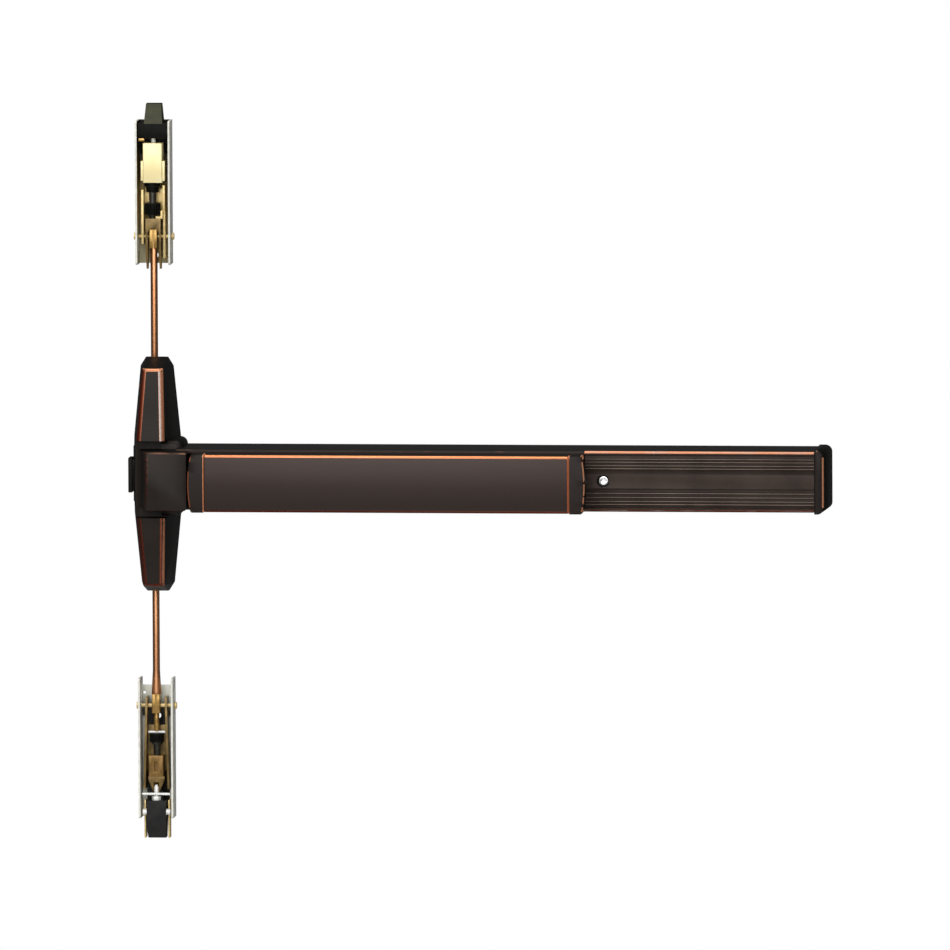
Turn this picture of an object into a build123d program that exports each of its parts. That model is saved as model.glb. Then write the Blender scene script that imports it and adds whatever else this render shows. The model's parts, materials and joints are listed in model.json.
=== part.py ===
from build123d import *
import math
import os

# Vertical rod exit device for a narrow stile door, in millimetres.
# The door face is the plane Y = 0, the push side is -Y and the stile is at +Y.
# X = 0 and Z = 0 pass through the middle of the centre case, and +Z is up.
# It is drawn with the push pad out and both bolts thrown.

# Motion
PAD_TRAVEL = 19.0
ROD_TRAVEL = 12.0
LINK_TRAVEL = 12.0
ROCKER_ARM = 12.0
CRANK_IN = 24.0

# Clearances
RUN = 0.05
GAP = 0.45
SIDE = 0.3

# Mechanism case
CASE_X = (22.0, 577.0)
CASE_HALF = 26.3
CASE_DEPTH = 57.0
CASE_WALL = 2.4
LIP_EDGE = CASE_HALF - 3.3
LIP_T = CASE_WALL

# Centre case cover
COVER_HALF = 101.6
COVER_BASE_MID = 21.2
COVER_BASE_LOBE = 20.3
COVER_BASE_TIP = 14.4
COVER_BASE_END = 9.6
COVER_WALL = 2.4
LOBE_START = CASE_HALF + 7.2
LOBE_TIP = COVER_HALF - 7.6
LOBE_DEPTH = 60.0
LOBE_TIP_DEPTH = 40.0
LOBE_END_DEPTH = 5.0
LOBE_ROUND = 4.5
SADDLE_ROUND = 4.0
SADDLE_RIM = 1.5
FLANK = 0.1425
VALLEY_DEPTH = LOBE_DEPTH - 18.0
SADDLE_HALF = CASE_HALF - 1.0
SADDLE_DEPTH = CASE_DEPTH + 21.0
SADDLE_LEFT = -3.0
SADDLE_RIGHT = CASE_X[0] + 11.0
COLLAR_X = CASE_X[0] + 4.4
COLLAR_HALF = CASE_HALF + 6.3
COLLAR_DEPTH = VALLEY_DEPTH + 4.0
COLLAR_ROOT = 8.0

# Plug in the cover's left side
PLUG_X = -24.0
PLUG_HALF = 15.2
PLUG_Y = (-17.5, -4.5)
PLUG_NECK = 1.6
PLUG_LIP_X = -20.6
PLUG_REACH = -16.8

# Cover screws, in the left side
SCREW_Z = COVER_HALF - 26.6
SCREW_Y = -9.0
SCREW_SEAT_X = -13.0
SCREW_HEAD_R = 3.3
SCREW_HEAD = 1.7
SCREW_R = 2.0
SCREW_TIP_X = -7.6
SCREW_TAB_X = (-11.0, -8.6)

# Base plate
PLATE = 3.0
PLATE_MID = COVER_BASE_MID - COVER_WALL - 1.6
PLATE_LOBE = COVER_BASE_LOBE - COVER_WALL - 1.3
PLATE_END = COVER_BASE_END - COVER_WALL + 1.0
PLATE_HALF = COVER_HALF - COVER_WALL - 2.7
MOUNT_X = 6.0
MOUNT_Z = PLATE_HALF - 9.5
MOUNT_R = 3.3
ROCKER_PIN_R = 3.0

# Slides and rods
ROD_X = -4.7
ROD_Y = 22.0
ROD_R = 3.1
SLIDE_T = 3.0
SLIDE_Y = -4.5
SLIDE_SHOULDER = 13.4
LUG_W = 9.0
LUG_H = 10.0
LUG_Z = 47.0
BLOCK_W = 14.0
BLOCK_BACK = 29.0
PIN_R = 2.0

# Grooved filler, right of the pad
FILLER_X = 377.0
FILLER_HALF = LIP_EDGE - SIDE
FILLER_T = 4.0
FILLER_FLANGE = CASE_HALF - CASE_WALL - SIDE
BAND = (-6.2, 6.5)
RIDGE_TOP = [BAND[1] + share * (FILLER_HALF - BAND[1]) for share in (0.8025, 0.642, 0.4506, 0.2901)]
RIDGE_BOTTOM = [BAND[0] - share * (FILLER_HALF + BAND[0]) for share in (0.2364, 0.4485, 0.6606, 0.8182)]
RIDGE_W = 1.5
GROOVE = 1.1
DOG_X = 392.5
DOG_Z = 0.2
DOG_HOLE_R = 5.4
DOG_SCREW_R = 3.95
DOG_HEX = 4.0
DOG_PLATE_T = 3.0
DOG_PLATE_HALF_X = 9.0
DOG_SEAT_Y = -CASE_DEPTH + 5.0
DOG_SHAFT_R = 2.6
DOG_HOOK_Y = (-27.0, -24.0)
DOG_HOOK_R = 6.0
DOG_HOOK_HALF = 2.8

# Push pad
PAD_X = (50.2, 365.8)
PAD_HALF = CASE_HALF - 1.5
PAD_DEPTH = CASE_DEPTH + 38.0
PAD_CROWN = 1.6
PAD_RIM = PAD_DEPTH - 18.0
PAD_WALL = 2.0
PAD_EDGE = 2.4
CAP_LEFT = (35.9, 38.4)
CAP_RIGHT = (380.2, 377.6)
CAP_PROUD = 0.5
CARRIER_X = (52.0, 374.0)
CARRIER_HALF = LIP_EDGE - 1.7
CARRIER_WALL = 2.0
CARRIER_FRONT = PAD_DEPTH - PAD_WALL - PAD_CROWN - 0.1
CARRIER_RIM = PAD_DEPTH - 45.0

# Cranks and link
CRANK_X = (100.0, 300.0)
CRANK_Y = -17.0
CRANK_Z = (-6.0, 0.0)
CRANK_HUB_R = 5.2
CRANK_END_R = 4.2
CRANK_PIN_R = 2.5
EAR_T = 2.4
EAR_GAP = 1.0
LINK_Z = (3.9, 6.3)
LINK_Y = (-37.0, -27.5)
LINK_X = (14.0, 380.0)
LINK_END_Y = (-18.4, -15.4)
PAD_LUG_Z = (-11.0, -8.6)
PAD_LUG_HALF_X = 6.5
ROCKER_Y = (-12.0, -9.0)

# End cap
END_X = (CASE_X[1] - 1.5, CASE_X[1] + 9.4)
END_FRONT_X = END_X[1] - 2.6
END_HALF = CASE_HALF + 1.4
END_DEPTH = CASE_DEPTH + 2.0
END_CORNER = 6.0
END_WALL = 2.2
END_EDGE = 1.3
END_BRACKET_X = (CASE_X[1] - 32.0, END_FRONT_X - 1.6)
END_BOLT_X = CASE_X[1] - 22.0
END_BOLT_Z = 13.0
END_BOLT_R = 2.75
END_SCREW_X = CASE_X[1] + 2.9
END_SCREW_Y = -20.0

# Latch cases
LATCH_X = -4.5
LATCH_HALF = 15.1
LATCH_WALL = 1.6
LATCH_Y = (10.0, 34.0)
LATCH_FLOOR = LATCH_Y[1] - LATCH_WALL
LATCH_CORNER = 1.6
LATCH_PIN_Z = 204.2
LATCH_TAIL = 24.2
TOP_CASE = 125.0
BOTTOM_CASE = 121.7
BOLT_THROWN = 14.5
LATCH_PIN_R = 1.75
LATCH_PIN_HEAD_R = 3.0
LATCH_PIN_HEAD = 1.9
LATCH_HOLE_R = 2.6
TOP_Z = (LATCH_PIN_Z - LATCH_TAIL, LATCH_PIN_Z - LATCH_TAIL + TOP_CASE)
TOP_HOLES_Z = (TOP_Z[0] + 7.0, TOP_Z[1] - 6.0)
BOTTOM_Z = (LATCH_TAIL - LATCH_PIN_Z - BOTTOM_CASE, LATCH_TAIL - LATCH_PIN_Z)
BOTTOM_PLATE_Z = BOTTOM_Z[1] - 7.3
BOTTOM_HOLES_Z = (-LATCH_PIN_Z - 9.8, BOTTOM_Z[0] + 6.7)
PILOT_R = 1.25
PILOT_X = LATCH_X - LATCH_HALF + 3.3
PILOT_Z = -LATCH_PIN_Z + 10.2
BOLT_END = TOP_Z[1] + BOLT_THROWN
BOLT_Y = (LATCH_Y[0] + 2.4, LATCH_FLOOR - 1.6)
LATCH_EDGE = 0.6

# Rod ends
CONNECTOR_HALF = 3.5
CONNECTOR_Y = (ROD_Y - 6.0, ROD_Y + 6.0)
CONNECTOR_Z = (LATCH_PIN_Z - 10.0, LATCH_PIN_Z + 6.3)
ROD_END = LATCH_PIN_Z - LATCH_PIN_R - 0.6
FLARE_R = 4.3
FLARE_Z = LATCH_PIN_Z - 31.2

# Top latch's sliding pieces
CLEVIS_HALF = 6.5
CLEVIS_Y = (LATCH_Y[0] + 3.6, LATCH_FLOOR - 3.4)
CLEVIS_WALL = 1.6
CLEVIS_Z = (LATCH_PIN_Z - 28.2, LATCH_PIN_Z + 15.8)
CLEVIS_ARCH_R = 5.1
CLEVIS_ARCH_Z = LATCH_PIN_Z + 2.2
CLEVIS_POINT = 16.0
STEM_X = ROD_X - 0.9
STEM_R = 3.0
KNOB_R = 6.5
KNOB_SIDES = 12
KNOB_Z = (CLEVIS_Z[1] + 2.9, CLEVIS_Z[1] + 13.2)
DOME_R = (7.2, 5.6)
DOME_RISE = 38.5
DOME_STEP = 5.1
DOME_RIM = 3.6
DOME_FOOT = LATCH_PIN_Z + DOME_RISE
DOME_Z = (DOME_FOOT, DOME_FOOT + DOME_STEP, DOME_FOOT + DOME_STEP + DOME_RIM)
ARM_T = 1.8
TOP_ARM_X = 10.2
WEB_T = 1.6
WEB_Z = (LATCH_PIN_Z + 22.0, LATCH_PIN_Z + 40.8)
LEFT_ARM_Z = LATCH_PIN_Z - 6.2
RIGHT_ARM_Z = LATCH_PIN_Z + 44.7
LOW_ARM_Z = LATCH_PIN_Z - 18.9
TRIP_T = 2.0
TRIP_H = 7.1
BLOCK_HALF = 8.4
BLOCK_Y = (LATCH_Y[0] + 1.8, LATCH_FLOOR - 3.4)
BLOCK_H = 34.3
BLOCK_Z = (DOME_Z[2], DOME_Z[2] + BLOCK_H)
WING_HALF = 10.4
WING_Z = (BLOCK_Z[0] + 1.6, BLOCK_Z[0] + 18.8)
TOP_BOLT_Z = (BLOCK_Z[1] + 4.3, TOP_Z[1] - 2.4)
TOP_BOLT_HALF = LATCH_HALF - LATCH_WALL - 0.9
NOSE_BASE = (-7.4, 8.6)
NOSE_TOP = (-6.4, 7.0)
TAIL_T = 1.6
TAIL_Z = TOP_BOLT_Z[0] - 15.0
TAB_W = 5.0
TAB_Y = (LATCH_Y[0] + 3.0, LATCH_Y[0] + 10.0)

# Bottom latch's sliding pieces
LEVER_TOP_X = 7.4
LEVER_FOOT_X = 9.6
LEVER_H = 79.9
LEVER_Z = (-LATCH_PIN_Z + 7.6 - LEVER_H, -LATCH_PIN_Z + 7.6)
LEVER_FRONT = LATCH_Y[0] + 5.5
LOW_WEB_Z = (-LATCH_PIN_Z - 57.8, -LATCH_PIN_Z - 17.8)
CROSS_PIN_R = 1.1
INNER_PIN_Z = -LATCH_PIN_Z - 23.2
OUTER_PIN_Z = LEVER_Z[0] - 4.1
OUTER_PIN_HALF = 12.2
OUTER_PIN_Y = LATCH_Y[0] + 3.4
BARREL_R = 2.3
BARREL_Z = (INNER_PIN_Z + CROSS_PIN_R, -CONNECTOR_Z[1])
LOW_KNOB_R = 5.7
LOW_KNOB_Z = (INNER_PIN_Z - 8.8, INNER_PIN_Z - CROSS_PIN_R)
SPOOL_R = (4.4, 2.9)
SPOOL_FLANGE = 2.0
LOW_BLOCK_X = (-6.6, 6.2)
LOW_BLOCK_Y = (LATCH_Y[0] + 4.0, LATCH_FLOOR - 4.4)
LOW_BLOCK_Z = (-LATCH_PIN_Z - 61.5, -LATCH_PIN_Z - 43.2)
KEYHOLE_R = 1.6
KEYHOLE_Z = (LOW_BLOCK_Z[0] + 5.5, LOW_BLOCK_Z[1] - 6.4)
KEYHOLE_DEEP = 3.0
WEDGE_HALF = 7.0
WEDGE_TIP = 2.6
WEDGE_Z = (LOW_BLOCK_Z[0] - 13.0, LOW_BLOCK_Z[0] - 2.5)
ACORN_R = 2.0
ACORN_Y = LATCH_Y[0] + 7.0
ACORN_Z = (WEDGE_Z[0] - 4.3, WEDGE_Z[0] + 5.8)
NUT_FLAT = 3.4
NUT_H = 3.4
LOW_BOLT_HALF = 8.4
LOW_BOLT_Z = (BOTTOM_Z[0] - 2.3, ACORN_Z[0] - NUT_H)
LOW_NECK_HALF = 5.0
LOW_NECK_Y = ROD_Y - 1.0
LOW_BEVEL = 8.5
ROLLER_R = 2.6
ROLLER_Y = LATCH_Y[0] + 5.6
ROLLER_Z = LOW_BOLT_Z[1] - 10.0
ROLLER_X = (LOW_BOLT_HALF, LOW_BOLT_HALF + 3.6)
CHEEK_X = 9.7
CHEEK_T = 1.4
CHEEK_Y = LATCH_Y[0] + 9.0

# Return springs in the centre case
SPRING_X = 6.4
SPRING_Y = -11.6
SPRING_R = 3.0
SPRING_WIRE = 0.55
SPRING_TURNS = 6
SPRING_STEPS = 8
SPRING_Z = (20.0, 57.0)
SPRING_TAB = 2.0


def box(x0, x1, y0, y1, z0, z1):
    size = Box(abs(x1 - x0), abs(y1 - y0), abs(z1 - z0))
    return Pos((x0 + x1) / 2, (y0 + y1) / 2, (z0 + z1) / 2) * size


def rod_x(radius, x0, x1, y, z):
    return Pos((x0 + x1) / 2, y, z) * Rot(0, 90, 0) * Cylinder(radius, abs(x1 - x0))


def rod_y(radius, y0, y1, x, z):
    return Pos(x, (y0 + y1) / 2, z) * Rot(90, 0, 0) * Cylinder(radius, abs(y1 - y0))


def rod_z(radius, z0, z1, x, y):
    return Pos(x, y, (z0 + z1) / 2) * Cylinder(radius, abs(z1 - z0))


def prism_x(points, x0, x1):
    wire = Polyline(*[(x0, y, z) for y, z in points], close=True)
    return extrude(make_face(wire), amount=x1 - x0, dir=(1, 0, 0))


def prism_y(points, y0, y1):
    wire = Polyline(*[(x, y0, z) for x, z in points], close=True)
    return extrude(make_face(wire), amount=y1 - y0, dir=(0, 1, 0))


def prism_z(points, z0, z1):
    wire = Polyline(*[(x, y, z0) for x, y in points], close=True)
    return extrude(make_face(wire), amount=z1 - z0, dir=(0, 0, 1))


def slot_y(radius, y0, y1, a, b):
    """A square-ended slot cut along Y for a pin that travels between the (x, z) points a and b."""
    length = math.dist(a, b) + 2 * radius
    angle = math.degrees(math.atan2(b[1] - a[1], b[0] - a[0]))
    middle = Pos((a[0] + b[0]) / 2, (y0 + y1) / 2, (a[1] + b[1]) / 2)
    return middle * Rot(0, -angle, 0) * Box(length, abs(y1 - y0), 2 * radius)


def slot_x(radius, x0, x1, y, z0, z1):
    """A round-ended slot along X that runs from z0 to z1."""
    bar = box(x0, x1, y - radius, y + radius, z0, z1)
    return bar + rod_x(radius, x0, x1, y, z0) + rod_x(radius, x0, x1, y, z1)


def slot_z(radius, z0, z1, a, b):
    """A square-ended slot along Z for a pin that travels between the (x, y) points a and b."""
    length = math.dist(a, b) + 2 * radius
    angle = math.degrees(math.atan2(b[1] - a[1], b[0] - a[0]))
    middle = Pos((a[0] + b[0]) / 2, (a[1] + b[1]) / 2, (z0 + z1) / 2)
    return middle * Rot(0, 0, angle) * Box(length, 2 * radius, abs(z1 - z0))


def arm_outline(a, b, radius):
    """The outline of a flat arm from a to b, blunt past its far end."""
    length = math.dist(a, b)
    along = ((b[0] - a[0]) / length * radius, (b[1] - a[1]) / length * radius)
    across = (-along[1], along[0])
    far = (b[0] + along[0], b[1] + along[1])
    return [
        (a[0] + across[0], a[1] + across[1]),
        (b[0] + across[0], b[1] + across[1]),
        (far[0] + across[0] / 2, far[1] + across[1] / 2),
        (far[0] - across[0] / 2, far[1] - across[1] / 2),
        (b[0] - across[0], b[1] - across[1]),
        (a[0] - across[0], a[1] - across[1]),
    ]


def flank_cut(solid, points):
    """Trims both sides of a solid by the plane through three points and by its mirror image."""
    for side in (-1, 1):
        a, b, c = (Vector(side * x, y, z) for x, y, z in points)
        normal = (b - a).cross(c - a).normalized()
        normal = normal if normal.X * side > 0 else -normal
        solid = split(solid, bisect_by=Plane(origin=a, z_dir=normal), keep=Keep.BOTTOM)
    return solid


def lobe(inset, sign):
    """One tapered half of the cover, above or below the saddle, with flat leaning sides."""
    start, tip, end = LOBE_START + inset, LOBE_TIP - inset, COVER_HALF - inset
    depth, tip_depth, end_depth = LOBE_DEPTH - inset, LOBE_TIP_DEPTH - inset, LOBE_END_DEPTH
    profile = [(0.0, start), (-depth, start), (-tip_depth, tip), (-end_depth, end), (0.0, end)]
    solid = prism_x([(y, sign * z) for y, z in profile], -COVER_BASE_LOBE, COVER_BASE_LOBE)
    root, lean = COVER_BASE_LOBE - inset, FLANK * LOBE_DEPTH
    foot, last = COVER_BASE_TIP - inset, COVER_BASE_END - inset
    low, high = sign * LOBE_START, sign * LOBE_TIP
    side = [(root, 0.0, low), (foot, 0.0, high), (root - lean, -LOBE_DEPTH, low)]
    solid = flank_cut(solid, side)
    corner = foot - FLANK * LOBE_TIP_DEPTH
    taper = [(foot, 0.0, high), (last, 0.0, sign * COVER_HALF), (corner, -LOBE_TIP_DEPTH, high)]
    return flank_cut(solid, taper)


def valley(inset):
    """The low middle of the cover, between the lobes and behind the saddle."""
    solid = box(
        -COVER_BASE_MID, COVER_BASE_MID, -VALLEY_DEPTH + inset, 0.0, -LOBE_START, LOBE_START
    )
    middle, root = COVER_BASE_MID - inset, COVER_BASE_LOBE - inset
    top = (middle - FLANK * VALLEY_DEPTH, -VALLEY_DEPTH, 0.0)
    for sign in (-1, 1):
        solid = flank_cut(solid, [(middle, 0.0, 0.0), (root, 0.0, sign * LOBE_START), top])
    return solid


def saddle(inset):
    points = [
        (-COVER_BASE_MID + inset, 0.0),
        (SADDLE_LEFT + inset, -SADDLE_DEPTH + inset),
        (SADDLE_RIGHT - inset, -SADDLE_DEPTH + inset),
        (SADDLE_RIGHT - inset, -CASE_DEPTH - SIDE - inset),
        (COVER_BASE_MID - inset, -CASE_DEPTH - SIDE - inset),
        (COVER_BASE_MID - inset, 0.0),
    ]
    half = SADDLE_HALF - inset
    return prism_z(points, -half, half)


def collar():
    corner = COLLAR_X - (COLLAR_HALF - CASE_HALF)
    points = [
        (COLLAR_ROOT, -COLLAR_HALF),
        (COLLAR_X, -COLLAR_HALF),
        (COLLAR_X, COLLAR_HALF),
        (COLLAR_ROOT, COLLAR_HALF),
    ]
    solid = prism_y(points, -COLLAR_DEPTH, 0.0)
    corners = [e for e in solid.edges().filter_by(Axis.Y) if e.center().X > corner]
    solid = fillet(corners, COLLAR_X - corner)
    front = [e for e in solid.edges() if abs(e.center().Y + COLLAR_DEPTH) < 0.1 and e.center().X > corner]
    return chamfer(front, 3.0)


def edges_near(solid, reach, y, **other):
    """The edges whose middle lies within a reach of a Y, and of an X or a Z if one is given."""
    found = [e for e in solid.edges() if abs(e.center().Y - y) < reach]
    for axis, value in other.items():
        found = [e for e in found if abs(getattr(e.center(), axis) - value) < reach]
    return found


def rounded_lobe(sign):
    solid = lobe(0.0, sign)
    middle_z = sign * (LOBE_START + LOBE_TIP) / 2
    sides = edges_near(solid, 3.0, -(LOBE_DEPTH + LOBE_TIP_DEPTH) / 2, Z=middle_z)
    tips = edges_near(solid, 1.0, -LOBE_TIP_DEPTH, X=0.0)
    return fillet(sides + tips, LOBE_ROUND)


def rounded_saddle():
    solid = saddle(0.0)
    left = [e for e in solid.edges().filter_by(Axis.Z) if e.center().X < 0 and e.center().Y < -COVER_WALL]
    solid = fillet(left, SADDLE_ROUND)
    front = [e for e in solid.edges() if e.center().Y < -CASE_DEPTH - 2 * SIDE]
    rims = [e for e in front if abs(e.center().Z) > SADDLE_HALF / 2]
    return chamfer(rims, SADDLE_RIM)


def cover_screw_places():
    return [(SCREW_Y, sign * SCREW_Z) for sign in (-1, 1)]


def passage():
    """The hollow's straight run between the two lobes."""
    reach = LOBE_START + COVER_WALL + 1.0
    base = COVER_BASE_LOBE - COVER_WALL - 0.6
    floor = VALLEY_DEPTH - COVER_WALL
    points = [(-base, 0.0), (base, 0.0), (base - FLANK * floor, -floor), (FLANK * floor - base, -floor)]
    return prism_z(points, -reach, reach)


def center_cover():
    outer = valley(0.0) + rounded_saddle() + rounded_lobe(1) + rounded_lobe(-1) + collar()
    inner = valley(COVER_WALL) + saddle(COVER_WALL) + lobe(COVER_WALL, 1) + lobe(COVER_WALL, -1)
    inner += passage()
    slot = CASE_HALF + SIDE / 2
    outer -= inner
    outer -= box(CASE_X[0] - SIDE, SADDLE_RIGHT + 1.0, -CASE_DEPTH - SIDE, 0.0, -slot, slot)
    neck = SADDLE_HALF - COVER_WALL
    outer -= box(COLLAR_ROOT, CASE_X[0], -CASE_DEPTH + 2 * COVER_WALL, 0.0, -neck, neck)
    plug_half = PLUG_HALF - PLUG_NECK
    outer -= box(
        PLUG_X, PLUG_REACH + SIDE, PLUG_Y[0] + PLUG_NECK, PLUG_Y[1] - PLUG_NECK, -plug_half, plug_half
    )
    for y, z in cover_screw_places():
        outer -= rod_x(SCREW_HEAD_R + SIDE, -COVER_BASE_MID, SCREW_SEAT_X, y, z)
        outer -= rod_x(SCREW_R + SIDE, SCREW_SEAT_X, SCREW_TIP_X, y, z)
    return outer


def side_plug():
    plate = box(PLUG_X, PLUG_LIP_X, PLUG_Y[0], PLUG_Y[1], -PLUG_HALF, PLUG_HALF)
    plate = fillet([e for e in plate.edges() if e.center().X < PLUG_X + 0.1], 1.0)
    half = PLUG_HALF - PLUG_NECK - SIDE / 2
    inset = PLUG_NECK + SIDE / 2
    return plate + box(PLUG_LIP_X, PLUG_REACH, PLUG_Y[0] + inset, PLUG_Y[1] - inset, -half, half)


def cover_screws():
    screws = []
    for y, z in cover_screw_places():
        head = rod_x(SCREW_HEAD_R, SCREW_SEAT_X - SCREW_HEAD, SCREW_SEAT_X, y, z)
        screws.append(head + rod_x(SCREW_R, SCREW_SEAT_X, SCREW_TIP_X, y, z))
    return Compound(children=screws)


def lug_window(sign):
    low = LUG_Z - LUG_H / 2 - ROD_TRAVEL - GAP
    high = LUG_Z + LUG_H / 2 + GAP
    half = LUG_W / 2 + GAP
    return box(ROD_X - half, ROD_X + half, -PLATE, 0.0, sign * low, sign * high)


def spring_tab(sign):
    inner = sign * (SPRING_Z[0] - SPRING_TAB)
    outer = sign * SPRING_Z[0]
    reach = SPRING_R + SPRING_WIRE
    middle = sign * SPRING_X
    return box(middle - reach, middle + reach, SPRING_Y - reach, -PLATE, inner, outer)


def base_plate():
    points = [
        (PLATE_MID, 0.0),
        (PLATE_LOBE, LOBE_START),
        (PLATE_END, PLATE_HALF),
        (-PLATE_END, PLATE_HALF),
        (-PLATE_LOBE, LOBE_START),
        (-PLATE_MID, 0.0),
        (-PLATE_LOBE, -LOBE_START),
        (-PLATE_END, -PLATE_HALF),
        (PLATE_END, -PLATE_HALF),
        (PLATE_LOBE, -LOBE_START),
    ]
    plate = prism_y(points, -PLATE, 0.0)
    for x in (-MOUNT_X, MOUNT_X):
        for z in (-MOUNT_Z, MOUNT_Z):
            plate -= rod_y(MOUNT_R, -PLATE, 0.0, x, z)
    plate -= rod_y(ROCKER_PIN_R, -PLATE, 0.0, 0.0, 0.0)
    for sign in (-1, 1):
        plate -= lug_window(sign)
        plate += spring_tab(sign)
    for y, z in cover_screw_places():
        tab = box(*SCREW_TAB_X, y - SCREW_HEAD_R, -PLATE, z - SCREW_HEAD_R, z + SCREW_HEAD_R)
        plate += tab - rod_x(SCREW_R, *SCREW_TAB_X, y, z)
    return plate


def rocker_pivot():
    head_y = ROCKER_Y[0] - SIDE
    shaft = rod_y(ROCKER_PIN_R, head_y, 0.0, 0.0, 0.0)
    return shaft + rod_y(ROCKER_PIN_R + 1.5, head_y - 1.5, head_y, 0.0, 0.0)


def rocker_point(angle, length=ROCKER_ARM):
    """The (x, z) end of a rocker arm, its angle counted from +X towards +Z."""
    turn = math.radians(angle)
    return (length * math.cos(turn), length * math.sin(turn))


ROCKER_SWING = math.degrees(math.asin(ROD_TRAVEL / 2 / ROCKER_ARM))
ROCKER_LEFT = rocker_point(180.0 - ROCKER_SWING)
ROCKER_RIGHT = rocker_point(-ROCKER_SWING)
ROCKER_DOWN = rocker_point(270.0 - ROCKER_SWING)


def rocker():
    body = rod_y(ROCKER_PIN_R + 2.4, *ROCKER_Y, 0.0, 0.0)
    for end in (ROCKER_LEFT, ROCKER_RIGHT, ROCKER_DOWN):
        body += prism_y(arm_outline((0.0, 0.0), end, PIN_R + 1.2), *ROCKER_Y)
    for end in (ROCKER_LEFT, ROCKER_RIGHT):
        body += rod_y(PIN_R, ROCKER_Y[1], SLIDE_Y + SIDE, *end)
    body += rod_y(PIN_R, LINK_END_Y[0] - 1.0, ROCKER_Y[0], *ROCKER_DOWN)
    return body - rod_y(ROCKER_PIN_R + RUN, *ROCKER_Y, 0.0, 0.0)


def slide(sign, pin):
    """The rod's slide: drive slot, shank, spring tab and the lug through the base plate."""
    top, bottom = SLIDE_Y, SLIDE_Y - SLIDE_T
    near = pin[0] / abs(pin[0])
    reach = math.sqrt(ROCKER_ARM**2 - pin[1] ** 2)
    arc = [(near * reach, pin[1]), (near * ROCKER_ARM, pin[1])]
    shank = sorted((near * 6.8, near * (ROCKER_ARM + PIN_R + 2.0)))
    foot = pin[1] - sign * 4.4
    low, high = sign * (LUG_Z - LUG_H / 2), sign * (LUG_Z + LUG_H / 2)
    shoulder = sign * (LUG_Z - LUG_H)
    edge = LUG_W / 2 + 1.5
    wide = sorted((near * SLIDE_SHOULDER, ROD_X - near * edge))
    body = box(*shank, bottom, top, foot, low - sign * 4.0)
    body += box(*wide, bottom, top, shoulder, high)
    coil = sign * SPRING_X
    around = SPRING_R + SPRING_WIRE
    tab_z = sign * (SPRING_Z[1] + SPRING_TAB)
    bridge = (min(coil - around, ROD_X - edge), max(coil + around, ROD_X + edge))
    body += box(*bridge, bottom, top, high, tab_z)
    body += box(coil - around, coil + around, SPRING_Y - around, bottom, sign * SPRING_Z[1], tab_z)
    half = LUG_W / 2
    body += box(ROD_X - half, ROD_X + half, top, ROD_Y - BLOCK_W / 2, low, high)
    return body - slot_y(PIN_R + GAP, bottom, top, *arc)


def rod_block(sign):
    half = BLOCK_W / 2
    block = box(
        ROD_X - half, ROD_X + half, ROD_Y - half, BLOCK_BACK, sign * (LUG_Z - LUG_H), sign * (LUG_Z + LUG_H)
    )
    return block - rod_z(ROD_R, sign * (LUG_Z - LUG_H), sign * (LUG_Z + LUG_H), ROD_X, ROD_Y)


def return_spring(sign):
    """A compression spring between the base plate's tab and the slide's tab."""
    low, high = SPRING_Z[0] + SPRING_WIRE, SPRING_Z[1] - SPRING_WIRE
    radius = SPRING_R - SPRING_WIRE
    count = SPRING_TURNS * SPRING_STEPS
    points = []
    for step in range(count + 1):
        turn = 2 * math.pi * step / SPRING_STEPS
        z = low + (high - low) * step / count
        points.append((SPRING_X + radius * math.cos(turn), SPRING_Y + radius * math.sin(turn), z))
    path = Polyline(*points)
    wire = Plane(origin=path @ 0, z_dir=path % 0) * Rectangle(2 * SPRING_WIRE, 2 * SPRING_WIRE)
    coil = sweep(wire, path=path, transition=Transition.RIGHT)
    return coil if sign > 0 else Rot(0, 180, 0) * coil


def mechanism_case():
    depth, wall = CASE_DEPTH, CASE_WALL
    outer = box(*CASE_X, -depth, 0.0, -CASE_HALF, CASE_HALF)
    front = [e for e in outer.edges().filter_by(Axis.X) if e.center().Y < -1.0]
    outer = fillet(front, 2.0)
    inside = CASE_HALF - wall
    outer -= box(*CASE_X, -depth + LIP_T, -wall, -inside, inside)
    outer -= box(*CASE_X, -depth, -depth + LIP_T, -LIP_EDGE, LIP_EDGE)
    for z in (-END_BOLT_Z, END_BOLT_Z):
        outer -= rod_y(END_BOLT_R, -wall, 0.0, END_BOLT_X, z)
    return outer


def crank_brackets():
    low = CRANK_Z[0] - EAR_GAP - EAR_T
    high = CRANK_Z[1] + EAR_GAP + EAR_T
    half = CRANK_HUB_R + 1.0
    brackets = []
    for x in CRANK_X:
        base = box(x - half, x + half, -CASE_WALL - EAR_T, -CASE_WALL, low, high)
        for z in (low, high - EAR_T):
            base += box(x - half, x + half, CRANK_Y - half, -CASE_WALL, z, z + EAR_T)
        brackets.append(base - rod_z(CRANK_PIN_R, low, high, x, CRANK_Y))
    return Compound(children=brackets)


def crank_pivots():
    low = CRANK_Z[0] - EAR_GAP - EAR_T
    high = CRANK_Z[1] + EAR_GAP + EAR_T
    return Compound(children=[rod_z(CRANK_PIN_R, low, high, x, CRANK_Y) for x in CRANK_X])


CRANK_SWING = math.asin(PAD_TRAVEL / 2 / CRANK_IN)
CRANK_OUT = LINK_TRAVEL / 2 / math.sin(CRANK_SWING)


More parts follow.
